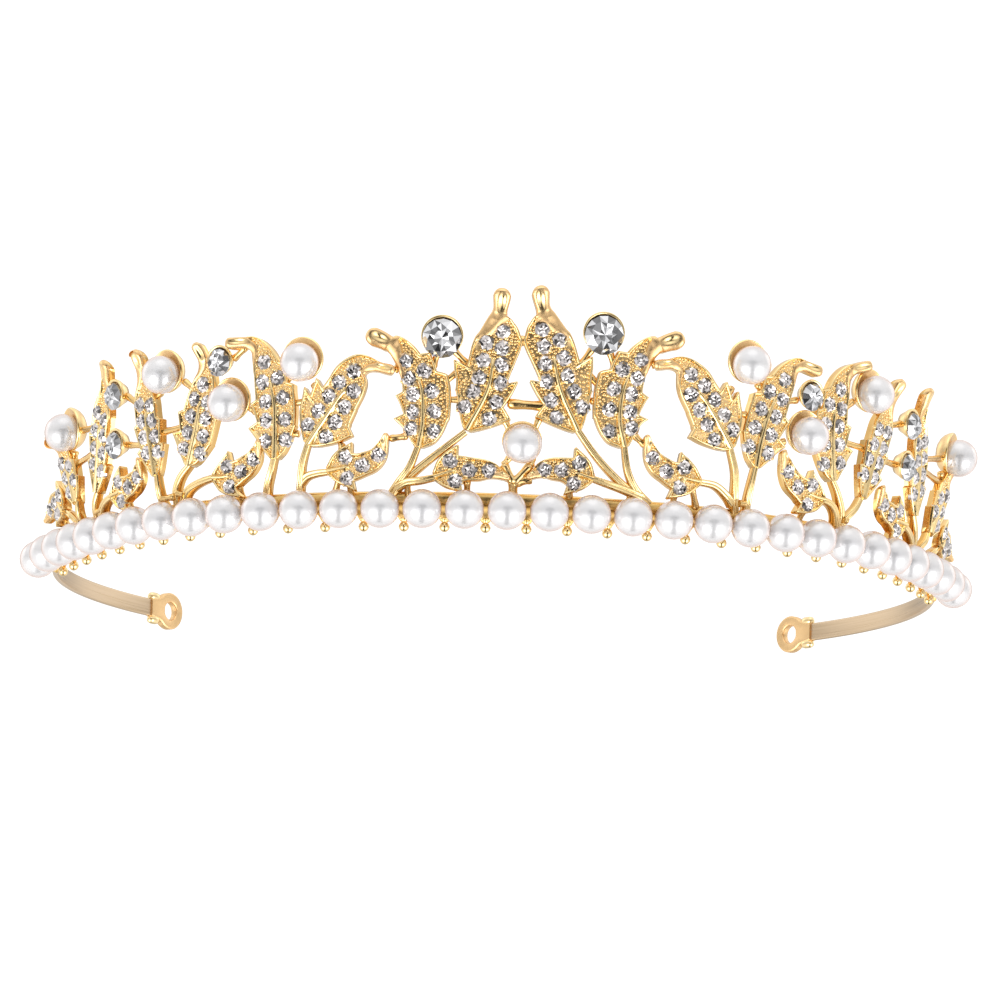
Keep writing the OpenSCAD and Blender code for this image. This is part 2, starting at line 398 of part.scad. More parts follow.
module left_crystal_1() { crystal(-1, left_sets[0][0]); }
module left_crystal_2() { crystal(-1, left_sets[2][2]); }
module left_crystal_3() { crystal(-1, left_sets[3][1]); }
module left_crystal_4() { crystal(-1, left_sets[3][2]); }
module right_crystal_1() { crystal(1, right_sets[0][0]); }
module right_crystal_2() { crystal(1, right_sets[2][2]); }
module right_crystal_3() { crystal(1, right_sets[3][1]); }
module right_crystal_4() { crystal(1, right_sets[3][2]); }

module left_stones_1() { color("azure") stones(-1, left_leaves[0]); }
module left_stones_2() { color("azure") stones(-1, left_leaves[1]); }
module left_stones_3() { color("azure") stones(-1, left_leaves[2]); }
module left_stones_4() { color("azure") stones(-1, left_leaves[3]); }
module right_stones_1() { color("azure") stones(1, right_leaves[0]); }
module right_stones_2() { color("azure") stones(1, right_leaves[1]); }
module right_stones_3() { color("azure") stones(1, right_leaves[2]); }
module right_stones_4() { color("azure") stones(1, right_leaves[3]); }

headband();
left_end_loop();
right_end_loop();
gallery_rail();
bead_row();
row_pearls_left_rear();
row_pearls_left_front();
row_pearl_middle();
row_pearls_right_front();
row_pearls_right_rear();
centre_link();
centre_pearl();
left_spray_1();
left_spray_2();
left_spray_3();
left_spray_4();
right_spray_1();
right_spray_2();
right_spray_3();
right_spray_4();
left_pearl_1();
left_pearl_2();
left_pearl_3();
left_pearl_4();
right_pearl_1();
right_pearl_2();
right_pearl_3();
right_pearl_4();
left_crystal_1();
left_crystal_2();
left_crystal_3();
left_crystal_4();
right_crystal_1();
right_crystal_2();
right_crystal_3();
right_crystal_4();
left_stones_1();
left_stones_2();
left_stones_3();
left_stones_4();
right_stones_1();
right_stones_2();
right_stones_3();
right_stones_4();
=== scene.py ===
"""Bridal tiara: the visual model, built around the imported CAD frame. Design numbers are in millimetres."""
import math
import random
import bmesh
import bpy
import numpy as np
from mathutils import Matrix, Vector


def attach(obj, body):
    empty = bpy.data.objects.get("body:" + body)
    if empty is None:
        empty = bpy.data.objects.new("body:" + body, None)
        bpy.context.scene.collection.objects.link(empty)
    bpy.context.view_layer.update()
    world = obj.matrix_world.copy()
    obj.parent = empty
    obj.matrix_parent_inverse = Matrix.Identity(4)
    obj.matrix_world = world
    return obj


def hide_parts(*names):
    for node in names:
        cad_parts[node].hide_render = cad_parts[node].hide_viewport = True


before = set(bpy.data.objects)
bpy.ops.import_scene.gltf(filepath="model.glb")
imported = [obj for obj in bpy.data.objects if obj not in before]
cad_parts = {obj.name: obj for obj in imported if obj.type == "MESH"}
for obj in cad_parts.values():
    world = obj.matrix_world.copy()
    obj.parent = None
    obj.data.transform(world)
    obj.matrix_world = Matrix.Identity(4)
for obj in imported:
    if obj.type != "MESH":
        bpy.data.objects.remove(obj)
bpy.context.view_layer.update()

MM = 0.001

# -------- sizes
# s runs along the band from the middle of the front, n and w outward, h up from the pearl line
RING_X, RING_Y = 0.44, 60.45  # where the plan curve lies
PLAN = [[25, 95], [50, 62.5], [35, 106], [35, 65], [45, 74]]  # its arcs: length, radius
PEARL_R, PEARL_Z, PITCH, ROW_SHIFT = 3.0, 3.0, 6.5, -1.9
ROW_SIDE = 16  # pearls on each side of the middle one
RAIL_N, BAND_N, CROWN_N = -3.45, -4.3, -2.0
LEAN = math.radians(7.5)
STONE_R, STONE_TOP, STONE_GIRDLE = 1.15 * 1.1, 0.82, 0.42
CRYSTAL_R, CRYSTAL_TOP, CRYSTAL_GIRDLE = {"B": 3.05, "C": 2.15}, 0.42, 0.2  # top: share of the radius
PEARL_OUT, CRYSTAL_OUT, STONE_OUT = 1.7, 1.0, 0.1  # how far they stand out of the crown
CUP_UP, CENTRE_CUP_UP, CENTRE_CUP_R = 0.6, 0.5, 3.05  # cups sit a little above what they hold
TIE_D, MIDDLE_TIE_D = 1.2, 1.7
BAND_H, BAND_T, BAND_REACH, BAND_Z = 3.0, 0.8, 171.0, PEARL_Z + 1.9

# -------- design tables
# They follow the CAD's; here some leaves are fuller and each tie runs on to the leaf that it holds.
# Outlines: [fraction along the spine, width toward the middle side, width on the other side]
TALL = [[0, 0.7, 0.7], [0.06, 2.2, 2], [0.2, 5.1, 4.4], [0.21, 3.2, 4.5], [0.38, 4.1, 5.5],
  [0.39, 2.5, 5.6], [0.47, 3.1, 5.8], [0.48, 3.2, 3.8], [0.64, 4.1, 3.2],
  [0.7, 3.7, 2.5], [0.76, 3.1, 1.8], [0.81, 2.2, 1.3], [0.83, 1.2, 1.15], [0.87, 1.1, 1.1],
  [0.93, 1.35, 1.3], [0.975, 1, 1], [1, 0.3, 0.3]]
FULL = [[0, 0.7, 0.7], [0.06, 2.4, 1.9], [0.2, 3.9, 4.5], [0.22, 4.1, 3], [0.4, 4.4, 4.1],
  [0.41, 4.4, 2.9], [0.46, 4.4, 2.8], [0.47, 3, 2.8], [0.6, 3.5, 2.2], [0.61, 2.2, 2.2],
  [0.7, 2.2, 1.7], [0.78, 2, 1.2], [0.82, 1.7, 1.1], [0.84, 1.25, 1.25], [0.93, 1.4, 1.4],
  [0.975, 1.05, 1.05], [1, 0.3, 0.3]]
WIDE = [[0, 0.7, 0.7], [0.06, 1.9, 2], [0.21, 3.4, 4.6], [0.22, 3.4, 3.1], [0.4, 3.6, 4.1],
  [0.41, 3.6, 3], [0.46, 3.8, 2.9], [0.47, 2.7, 2.9], [0.6, 3.2, 2.4], [0.61, 2.2, 2.4],
  [0.7, 1.9, 2], [0.78, 1.3, 1.4], [0.86, 0.9, 0.9], [0.93, 0.9, 0.9], [0.975, 0.65, 0.65],
  [1, 0.3, 0.3]]
BROAD = [[0, 0.7, 0.7], [0.06, 2.2, 2.2], [0.16, 4, 3.9], [0.26, 5.2, 4.8], [0.27, 3.9, 4.9],
  [0.32, 3.8, 5.4], [0.33, 3.7, 3.9], [0.43, 3.3, 4.6], [0.44, 3.2, 3], [0.6, 2.7, 2.9],
  [0.7, 1.9, 2.1], [0.78, 1.1, 1.3], [0.86, 0.8, 0.8], [0.93, 0.8, 0.8], [0.975, 0.55, 0.55],
  [1, 0.3, 0.3]]
SLIM = [[0, 0.7, 0.7], [0.06, 1.5, 1.5], [0.22, 3, 3.4], [0.23, 2.4, 2.5], [0.42, 3.2, 3.2],
  [0.43, 2.4, 2.5], [0.6, 2.4, 2.4], [0.7, 1.7, 1.8], [0.78, 1.2, 1.2], [0.86, 1, 1],
  [0.93, 1.2, 1.2], [0.975, 0.9, 0.9], [1, 0.3, 0.3]]
SMALL = [[0, 0.6, 0.6], [0.12, 2.2, 2.3], [0.33, 3.2, 3.4], [0.345, 2, 2.1],
  [0.45, 1.7, 1.9], [0.6, 1.6, 1.7], [0.74, 1.2, 1.3], [0.86, 0.8, 0.8], [0.95, 0.5, 0.5],
  [1, 0.3, 0.3]]
# Rows of stones: [count, first and last fraction, first and last offset across]
TALL_ROWS = [[6, 0.14, 0.72, -2.1, -1], [5, 0.13, 0.63, 2.1, 1.3]]
WIDE_ROWS = [[4, 0.13, 0.53, -1.8, -1.3], [4, 0.12, 0.53, 1.7, 1.3], [1, 0.66, 0.66, 0.2, 0.2]]
SLIM_ROWS = [[4, 0.17, 0.56, -1.3, -1.2], [4, 0.2, 0.58, 1.4, 1.2]]
SHORT_ROWS = [[2, 0.24, 0.44, -1.3, -1.2], [3, 0.2, 0.6, 1.3, 1.2]]
SMALL_ROWS = [[1, 0.25, 0.25, -1.6, -1.6], [1, 0.25, 0.25, 1.6, 1.6], [1, 0.47, 0.47, 0, 0],
  [1, 0.72, 0.72, 0, 0]]
# The leaves of each spray: [outline, stone rows, spine of [s, h], stalk of [s, h, w]]
RIGHT_LEAVES = [
  [[TALL, TALL_ROWS, [[8.6, 12.8], [5.6, 19], [4.2, 25], [3.3, 29.2], [2.4, 31.6], [1.9, 34.4]],
      [[21, 2.6, -1.5], [16.5, 5, -0.6], [12, 8.8, 0], [8.3, 13.4, 0]]],
   [FULL, WIDE_ROWS, [[16, 10.8], [15, 15], [15.6, 20.5], [18, 24.6], [21, 26.8], [24.1, 27.8]],
      [[21, 2.6, -1.5], [18.4, 4.6, -0.6], [16.8, 7.2, 0], [16, 11, 0]]],
   [SMALL, SMALL_ROWS, [[11.4, 5.6], [8.6, 6.4], [6.2, 6.8], [3.6, 6.7], [1, 5.2]],
      [[19.4, 3.6, -0.8], [16.5, 4.4, -0.3], [14, 5, 0], [11, 5.8, 0.1]]]],
  [[BROAD, WIDE_ROWS, [[33.4, 12], [30.2, 16.5], [27.4, 20], [24.3, 23.8], [19.6, 23.4]],
      [[36, 2.6, -1.5], [35.2, 5, -0.6], [34.6, 8.5, 0], [33.4, 12, 0]]],
   [WIDE, WIDE_ROWS, [[38, 9.6], [38.5, 14], [39.9, 19.5], [43.1, 25.8], [47.8, 25.4]],
      [[38, 2.6, -1.5], [37.6, 4.5, -0.6], [37.6, 7, 0], [38.1, 10.3, 0.1]]],
   [SMALL, SMALL_ROWS, [[28.6, 6.4], [25.8, 6.8], [23.3, 7.4], [20.8, 9.2], [19.2, 12.8]],
      [[35, 3.8, -0.8], [33.4, 5, -0.3], [31.2, 6.2, 0], [28.4, 6.5, 0]]]],
  [[WIDE, WIDE_ROWS, [[53.6, 9.5], [52.6, 14], [52.1, 19.5], [53.6, 26], [58, 28.2]],
      [[58, 2.6, -1.5], [57.4, 5, -0.6], [55.4, 7.6, 0], [53.6, 9.8, 0]]],
   [SLIM, SLIM_ROWS, [[61.2, 8], [62.4, 13], [63.9, 18], [65, 22.8], [66.2, 27.4]],
      [[58.4, 2.6, -1.5], [58.6, 4.4, -0.6], [60, 6.2, 0], [61.3, 8.4, 0]]],
   [SMALL, SMALL_ROWS, [[52, 6.4], [49.8, 6.6], [47.4, 7.2], [44.8, 8.8], [42.4, 12.8]],
      [[57.2, 3, -1.2], [55.8, 4.8, -0.4], [54, 6, 0], [51.5, 6.5, 0.1]]]],
  [[SLIM, SLIM_ROWS, [[78.8, 8], [78, 13], [77.4, 17.6], [76.2, 22.6], [75.2, 27.8]],
      [[84, 2.6, -1.5], [82.6, 4.6, -0.6], [80.4, 6.4, 0], [78.8, 8.4, 0]]],
   [SLIM, SHORT_ROWS, [[87, 6.5], [89, 9.8], [91.2, 13], [93, 16.5], [95, 19.5]],
      [[85.4, 2.6, -1.5], [85.6, 4, -0.6], [86.2, 5.2, 0], [87.1, 6.8, 0]]],
   [SMALL, SMALL_ROWS, [[75.4, 6], [72.6, 6.2], [70.2, 6.6], [67.6, 7.6], [65.4, 10.6]],
      [[82, 3.6, -0.8], [80, 4.6, -0.3], [77.6, 5.4, 0], [74.9, 6.1, 0.1]]],
   [SMALL, SMALL_ROWS, [[94, 5.4], [96.4, 6.8], [98.8, 7], [101, 6.2], [103, 4.8]],
      [[90, 2.6, -1.5], [90.8, 3.6, -0.6], [92.2, 4.6, 0], [94.2, 5.5, 0]]]]]
LEFT_LEAVES = [
  [[TALL, TALL_ROWS, [[8.4, 12.3], [5.4, 18.5], [4.6, 24.6], [4.3, 28.6], [3.8, 31], [3.6, 33.8]],
      [[20.4, 2.6, -1.5], [16.2, 6.2, -0.6], [12, 9.4, 0], [8.6, 12.1, 0]]],
   [FULL, WIDE_ROWS, [[15.8, 9.6], [15.2, 13.5], [15.6, 19], [17.9, 23], [20.9, 25.5], [23.8, 26.6]],
      [[20.4, 2.6, -1.5], [18.8, 4.6, -0.6], [17.2, 6.6, 0], [15.9, 9.8, 0]]],
   [SMALL, SMALL_ROWS, [[13.4, 5.1], [9.8, 6.2], [7, 6.3], [4.4, 6.2], [1.6, 5]],
      [[19.4, 3.6, -0.8], [17.6, 4.4, -0.3], [15.4, 4.6, 0], [12.2, 5.3, 0]]]],
  [[BROAD, WIDE_ROWS, [[33.4, 10.2], [30.2, 14.5], [27.4, 18.3], [24.7, 22], [19.4, 21]],
      [[35.6, 2.6, -1.5], [35, 4.6, -0.6], [34.4, 7.4, 0], [33.3, 10.6, 0.1]]],
   [WIDE, WIDE_ROWS, [[39, 8.2], [38.8, 13], [39, 18], [41.3, 25.4], [46.4, 26.2]],
      [[41.6, 2.6, -1.5], [40.8, 4.4, -0.6], [39.8, 6.4, 0], [38.8, 9.5, 0.14]]],
   [SMALL, SMALL_ROWS, [[30.2, 6], [27.4, 6.5], [24.8, 6.8], [22.2, 8.2], [20.6, 11.6]],
      [[35.2, 4.4, -0.8], [33.8, 5.4, -0.3], [32, 5.8, 0], [30, 6, 0]]]],
  [[WIDE, WIDE_ROWS, [[55.3, 8.3], [53.6, 13], [52.3, 17.5], [50.9, 22.6], [51.9, 26.8]],
      [[60, 2.6, -1.5], [59.2, 4.8, -0.6], [57.4, 6.8, 0], [55.3, 8.5, 0]]],
   [SLIM, SLIM_ROWS, [[62.7, 7.5], [63.4, 12], [64.1, 17], [64.3, 21.8], [64.5, 27.2]],
      [[62.8, 2.6, -1.5], [62.8, 4, -0.6], [62.6, 5.6, 0], [62.7, 8.1, 0.1]]],
   [SMALL, SMALL_ROWS, [[50.4, 6], [47.8, 6], [45.4, 6.6], [42.8, 8.4], [41.3, 11.2]],
      [[58.4, 3, -1.2], [56.4, 4.6, -0.4], [53.4, 5.6, 0], [49.9, 6.2, 0.18]]]],
  [[SLIM, SLIM_ROWS, [[80.2, 7], [78.6, 12], [77.2, 17], [74.8, 21.8], [72.3, 26.6]],
      [[83.2, 2.6, -1.5], [82.8, 4, -0.6], [81.6, 5.6, 0], [80.2, 7.4, 0]]],
   [SLIM, SHORT_ROWS, [[88.2, 6.5], [89.4, 9.5], [91, 12.5], [92.8, 15.5], [96, 17.8]],
      [[88.6, 2.6, -1.5], [88.8, 3.8, -0.6], [88.4, 5.2, 0], [88.1, 7, 0.1]]],
   [SMALL, SMALL_ROWS, [[75.2, 5.7], [72.2, 6.2], [69.6, 6.7], [67.4, 7.9], [66, 10.6]],
      [[81.4, 3.4, -0.8], [79.4, 4.8, -0.3], [77.2, 5.5, 0], [74.5, 5.9, 0.12]]],
   [SMALL, SMALL_ROWS, [[94, 6], [96.6, 7.6], [99, 8], [101.2, 7.2], [103.4, 5.6]],
      [[90.4, 2.6, -1.5], [90.8, 4, -0.6], [92, 5.2, 0], [94.2, 6.1, 0]]]]]
# What each spray's cups hold: P a pearl, B a big crystal, C a small crystal, at s, h
RIGHT_SETS = [[["B", 11.8, 27.4]], [["P", 35, 24.8]],
  [["P", 46.6, 15.4], ["P", 59.5, 23.8], ["C", 46.8, 21.5]],
  [["P", 92.6, 19.7], ["C", 72, 21.1], ["C", 72.2, 14.5]]]
LEFT_SETS = [[["B", 12.4, 26]], [["P", 34, 22.5]],
  [["P", 46.4, 17], ["P", 58.9, 22.5], ["C", 48, 23.4]],
  [["P", 88, 17.5], ["C", 71.4, 20.8], ["C", 72.2, 13.2]]]
# The ties of each spray: s, h at one end and at the other
RIGHT_TIES = [
  [[8.4, 22.6, 10.5, 25.8], [13, 25.4, 14, 22.6], [10.4, 17.6, 13.4, 17.6], [13, 18.4, 10, 21.6],
   [7.8, 4.6, 8, 2.8], [1.8, 5.4, -0.6, 4.7], [17.6, 3.6, 17.6, 2.6], [19.6, 24.4, 20.4, 23.4],
   [4, 16.4, -2.2, 16.6], [1.9, 26.3, -0.8, 26.2]],
  [[34.4, 17.6, 36, 17.6], [33, 21.6, 31.8, 18.4], [37.2, 22.6, 39.4, 20.4], [35.6, 13, 36.6, 13],
   [24.8, 3.8, 24.8, 2.6], [19.4, 11.4, 17.6, 12.8], [36, 4, 37.1, 4], [27.4, 5.4, 29, 2.6]],
  [[48.5, 22, 50.4, 21.4], [49.4, 16, 50.4, 16.4], [56.8, 22.6, 54.4, 20.6], [54.8, 16, 61.8, 15.8],
   [48.6, 3.6, 48.6, 2.6], [46.8, 18.2, 46.8, 19.4], [45, 21, 42.4, 20.4],
   [43.4, 14.4, 41.4, 13.8], [57.8, 4.2, 58.8, 4.2], [62.4, 22.6, 64, 21.2]],
  [[73.4, 21.3, 75.4, 20.6], [73.7, 14.7, 75.8, 14.4], [70.5, 21.3, 65.8, 20.1],
   [70.6, 14.8, 65.2, 14.8], [71.8, 3.6, 71.8, 2.6], [90.6, 17.2, 92, 15],
   [79.4, 16, 91, 15.4], [89.9, 19.2, 79.2, 17.2], [96, 5.6, 95.4, 2.6],
   [83.4, 3.4, 85.6, 3.4], [86, 3.6, 90.6, 3.4]]]
LEFT_TIES = [
  [[8.6, 22.4, 11, 24.8], [13.2, 24.2, 13.8, 21.8], [9.2, 17, 13.2, 17], [12.8, 19, 9.6, 21.6],
   [8.2, 4, 8.2, 2.6], [2.2, 5.4, 1, 4.6], [17.6, 3.8, 17.6, 2.6], [19.2, 22, 19.8, 21.2]],
  [[33.6, 17, 36, 16.6], [32.6, 19.6, 31, 17.2], [36.6, 20.6, 37.6, 19.4], [35, 12, 36.4, 12],
   [26.8, 3.8, 26.8, 2.6], [20.4, 11, 17.6, 11.4], [28.2, 8.6, 28, 10.4], [28.2, 5.4, 29.6, 2.6]],
  [[50.2, 22.6, 50.8, 21], [49.2, 17.4, 50, 16.6], [56, 21.6, 53.4, 19.6], [55.8, 14.6, 61.4, 14.2],
   [46, 3.8, 46, 2.6], [47, 19.6, 47.4, 21], [46.2, 24, 43.8, 25.8],
   [43.4, 16.4, 42.4, 15.6], [59.4, 4, 62.8, 4], [61, 20.4, 63, 19.2], [57.2, 4.1, 58.8, 4.5]],
  [[73, 20.8, 74.6, 19.8], [73.7, 13.4, 75.8, 12.8], [69.9, 21, 65.8, 18.6],
   [70.6, 13.3, 65.2, 12.6], [71.4, 3.8, 71.4, 2.6], [88.6, 14.8, 89.4, 13.6],
   [80.4, 13.6, 90, 12.6], [85.3, 17.6, 78.6, 17.4], [98, 6.6, 97, 2.6],
   [83.4, 3.2, 88.6, 3.2], [88.8, 3.6, 90.8, 3.6], [79.6, 4.6, 82.4, 4.2]]]
CENTRE = (0.1, 10.2)  # s, h of the middle pearl


# -------- the ring path
def _knots():
    """(s, x, y, heading, radius) where each arc starts."""
    out, s, x, y, a = [], 0.0, 0.0, 0.0, 0.0
    for length, r in PLAN:
        out.append((s, x, y, a, r))
        e = a + length / r
        x, y = x + r * (math.sin(e) - math.sin(a)), y + r * (math.cos(a) - math.cos(e))
        s, a = s + length, e
    return out


KNOTS = _knots()


def _plan_one(q):
    """x, y and heading at length q, from the arcs."""
    s, x, y, a, r = [k for k in KNOTS if q >= k[0] - 1e-9][-1]
    e = a + (q - s) / r
    return x + r * (math.sin(e) - math.sin(a)), y + r * (math.cos(a) - math.cos(e)), e


PLAN_S = np.arange(0, 190, 0.05)
PLAN_AT = np.array([_plan_one(q) for q in PLAN_S])


def plan_at(s):
    """x, y and heading of the pearl line at length s."""
    s = np.asarray(s, float)
    q, g = np.abs(s), np.where(s < 0, -1.0, 1.0)
    x, y, a = (np.interp(q, PLAN_S, PLAN_AT[:, k]) for k in range(3))
    return g * x, y, g * a


def ring(s, n, z):
    """Point at length s along the band, n outward from the pearl line, height z."""
    x, y, a = plan_at(s)
    p = np.broadcast_arrays(RING_X + x + n * np.sin(a), y - RING_Y - n * np.cos(a), np.asarray(z, float))
    return np.stack(p, -1)


def station(s, section, n0, z0=0.0):
    """A section of [n, z] points carried to length s."""
    return ring(np.full(len(section), s), n0 + section[:, 0], z0 + section[:, 1])


def panel(q):
    """Points [s, h, w] of the leaning crown."""
    q = np.asarray(q, float)
    return ring(q[..., 0], CROWN_N + q[..., 1] * math.tan(LEAN) + q[..., 2], PEARL_Z + q[..., 1])


def facing(s, n, z, tilt=0.0):
    """Frame at length s that faces outward: X along the band, Y up, Z outward."""
    a = float(plan_at(s)[2])
    m = Matrix.Rotation(a, 4, "Z") @ Matrix.Rotation(math.pi / 2 + tilt, 4, "X")
    return Matrix.Translation(Vector(ring(s, n, z))) @ m


def on_crown(s, h, w):
    """The same frame on the leaning crown, w out of its face."""
    return facing(s, CROWN_N + h * math.tan(LEAN) + w, PEARL_Z + h, LEAN)


def place(m, v):
    """Points v moved by the matrix m."""
    v = np.asarray(v, float)
    a = np.array(m)
    return v @ a[:3, :3].T + a[:3, 3]


# -------- curves
class Spine:
    """Smooth curve through points, addressed by its arc fraction."""

    def __init__(self, points):
        p = np.array(points, float)
        p = np.vstack([2 * p[0] - p[1], p, 2 * p[-1] - p[-2]])
        out = []
        for i in range(1, len(p) - 2):
            a, b, c, d = p[i - 1:i + 3]
            f = np.linspace(0, 1, 60, endpoint=False)[:, None]
            out.append((2 * b + (c - a) * f + (2 * a - 5 * b + 4 * c - d) * f ** 2
                        + (3 * b - a - 3 * c + d) * f ** 3) / 2)
        self.q = np.vstack(out + [p[-2][None]])
        leg = np.linalg.norm(np.diff(self.q, axis=0), axis=1)
        self.c = np.concatenate([[0], np.cumsum(leg)])
        self.length = self.c[-1]
        self.c /= self.length
        t = np.gradient(self.q[:, :2], axis=0)
        self.t = t / np.linalg.norm(t, axis=1)[:, None]

    def at(self, f, v=0.0):
        """[s, h, w] at fraction f, v across."""
        f = np.clip(np.asarray(f, float), 0, 1)
        p = [np.interp(f, self.c, self.q[:, k]) for k in range(self.q.shape[1])]
        tx, ty = np.interp(f, self.c, self.t[:, 0]), np.interp(f, self.c, self.t[:, 1])
        n = np.hypot(tx, ty)
        w = p[2] if len(p) > 2 else 0.0
        return np.stack(np.broadcast_arrays(p[0] + v * ty / n, p[1] - v * tx / n, w), -1)


def smooth(x, a, b):
    """0 below a, 1 above b, soft between."""
    t = np.clip((np.asarray(x, float) - a) / (b - a), 0, 1)
    return t * t * (3 - 2 * t)


def half_round(x):
    """Height of a half circle of radius 1 at x from its middle."""
    return np.sqrt(np.clip(1 - x ** 2, 0, 1))


def distance(p, line):
    """Distance from points p to a polyline, both flat."""
    a, b = line[:-1], line[1:]
    ab = b - a
    best = np.full(len(p), 1e9)
    for k in range(0, len(p), 500):
        ap = p[k:k + 500, None] - a[None]
        t = np.clip((ap * ab).sum(-1) / np.maximum((ab * ab).sum(-1), 1e-12), 0, 1)
        d = np.linalg.norm(ap - t[..., None] * ab, axis=-1)
        best[k:k + 500] = d.min(1)
    return best


# -------- mesh building
def _icosphere():
    bm = bmesh.new()
    bmesh.ops.create_icosphere(bm, subdivisions=2, radius=1)
    v = np.array([x.co[:] for x in bm.verts])
    f = [[x.index for x in p.verts] for p in bm.faces]
    bm.free()
    return v, f


BALL_V, BALL_F = _icosphere()


def ball_profile(r, n):
    """[r, z] points of a ball from its lowest point up, for Shape.turn."""
    return [(r * math.sin(math.pi * k / n), -r * math.cos(math.pi * k / n)) for k in range(n + 1)]


class Shape:
    """Collects vertices, faces and one tone per vertex, then makes one object."""

    def __init__(self):
        self.v, self.f, self.tone, self.n = [], [], [], 0

    def add(self, v, f, tone=0.5):
        v = np.asarray(v, float).reshape(-1, 3)
        self.v.append(v)
        self.f += [[i + self.n for i in q] for q in f]
        self.tone.append(np.broadcast_to(np.asarray(tone, float), (len(v),)))
        self.n += len(v)

    def grid(self, loops, caps=True, tone=0.5, flip=False):
        """A skin over loops of points, each loop a closed section."""
        loops = np.asarray(loops, float)
        m, n = loops.shape[:2]
        f = []
        for i in range(m - 1):
            for j in range(n):
                a, b = i * n + j, i * n + (j + 1) % n
                f.append([a, b, b + n, a + n])
        if caps:
            f.append(list(range(n))[::-1])
            f.append([(m - 1) * n + j for j in range(n)])
        if flip:
            f = [q[::-1] for q in f]
        tone = np.asarray(tone, float)
        self.add(loops, f, tone.ravel() if tone.ndim > 1 else tone)

    def turn(self, profile, m, segments=48, tone=0.5):
        """A surface of revolution about local Z from [r, z] points; ends on the axis close it."""
        v, f, rows = [], [], []
        angles = [2 * math.pi * k / segments for k in range(segments)]
        for r, z in profile:
            points = [[0, 0, z]] if r < 1e-6 else [[r * math.cos(a), r * math.sin(a), z] for a in angles]
            rows.append(list(range(len(v), len(v) + len(points))))
            v += points
        for a, b in zip(rows, rows[1:]):
            for k in range(segments):
                k2 = (k + 1) % segments
                q = [a[k % len(a)], a[k2 % len(a)], b[k2 % len(b)], b[k % len(b)]]
                q = [i for n, i in enumerate(q) if i not in q[:n]]
                if len(q) > 2:
                    f.append(q)
        if np.ndim(tone):
            tone = np.concatenate([np.full(len(row), t) for row, t in zip(rows, tone)])
        self.add(place(m, v), f, tone)

    def ball(self, centre, r, squash=(1, 1, 1), tone=0.5):
        self.add(BALL_V * r * np.array(squash) + np.asarray(centre), BALL_F, tone)

    def make(self, name, material, slot, replaces, sharp=None):
        """The object. sharp: angle in degrees above which an edge is sharp, 0 for flat facets."""
        mesh = bpy.data.meshes.new(name)
        v = np.vstack(self.v) * MM
        mesh.from_pydata(v.tolist(), [], self.f)
        mesh.validate()
        layer = mesh.attributes.new("tone", "FLOAT", "POINT")
        layer.data.foreach_set("value", np.concatenate(self.tone))
        mesh.polygons.foreach_set("use_smooth", [sharp != 0] * len(mesh.polygons))
        if sharp:
            mesh.set_sharp_from_angle(angle=math.radians(sharp))
        mesh.materials.append(material)
        ob = bpy.data.objects.new(name, mesh)
        bpy.context.scene.collection.objects.link(ob)
        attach(ob, "root")
        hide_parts(replaces)


# -------- the leaves
# Of two values, the second is for a small leaf
LEAF_ROWS, MIN_STEP = (140, 80), 0.0012
RIM, RIM_H, BED = 0.5, 0.7, 0.24
RIB_W, RIB_TO, RIB_H = (0.64, 0.45), (0.6, 0.34), 1.05
ROUND_AT = 0.93  # the end of the outline is round from here
CURL, CURL_FROM, CURL_RUN = (1.5, 1.0), 0.68, 0.32
# Tones: 0 to 1 runs from painted shade in the hollows to the full gold colour of the bright edges, 1 to 2
# from polished to satin
BED_TONE, SATIN, WALL_SHADE_TONE, EDGE_TONE = 1.6, 1.85, 0.3, 0.95
DIMPLE = (0.9, 0.055, 0.5)  # fraction, length, depth
GRAIN_R, GRAIN_GAP, STONE_CLEAR = (0.17, 0.36), 0.84, 1.2
PRONG_R, PRONG_H = (0.2, 0.27), 0.42
# How much of the width the smooth tongue takes, by fraction along the leaf
TONGUE_LONG = [[0.5, 0.66, 0.74, 0.79, 0.84], [0.1, 0.28, 0.48, 0.74, 1.05]]
TONGUE_FULL = [[0.42, 0.6, 0.7, 0.76, 0.81], [0.1, 0.26, 0.46, 0.74, 1.05]]
TONGUE_SHORT = [[0.56, 0.68, 0.76, 0.82, 0.87], [0.08, 0.2, 0.4, 0.7, 1.05]]
TONGUE_SMALL = [[0.6, 0.7, 0.78, 0.84, 0.9], [0.1, 0.25, 0.45, 0.7, 1.05]]


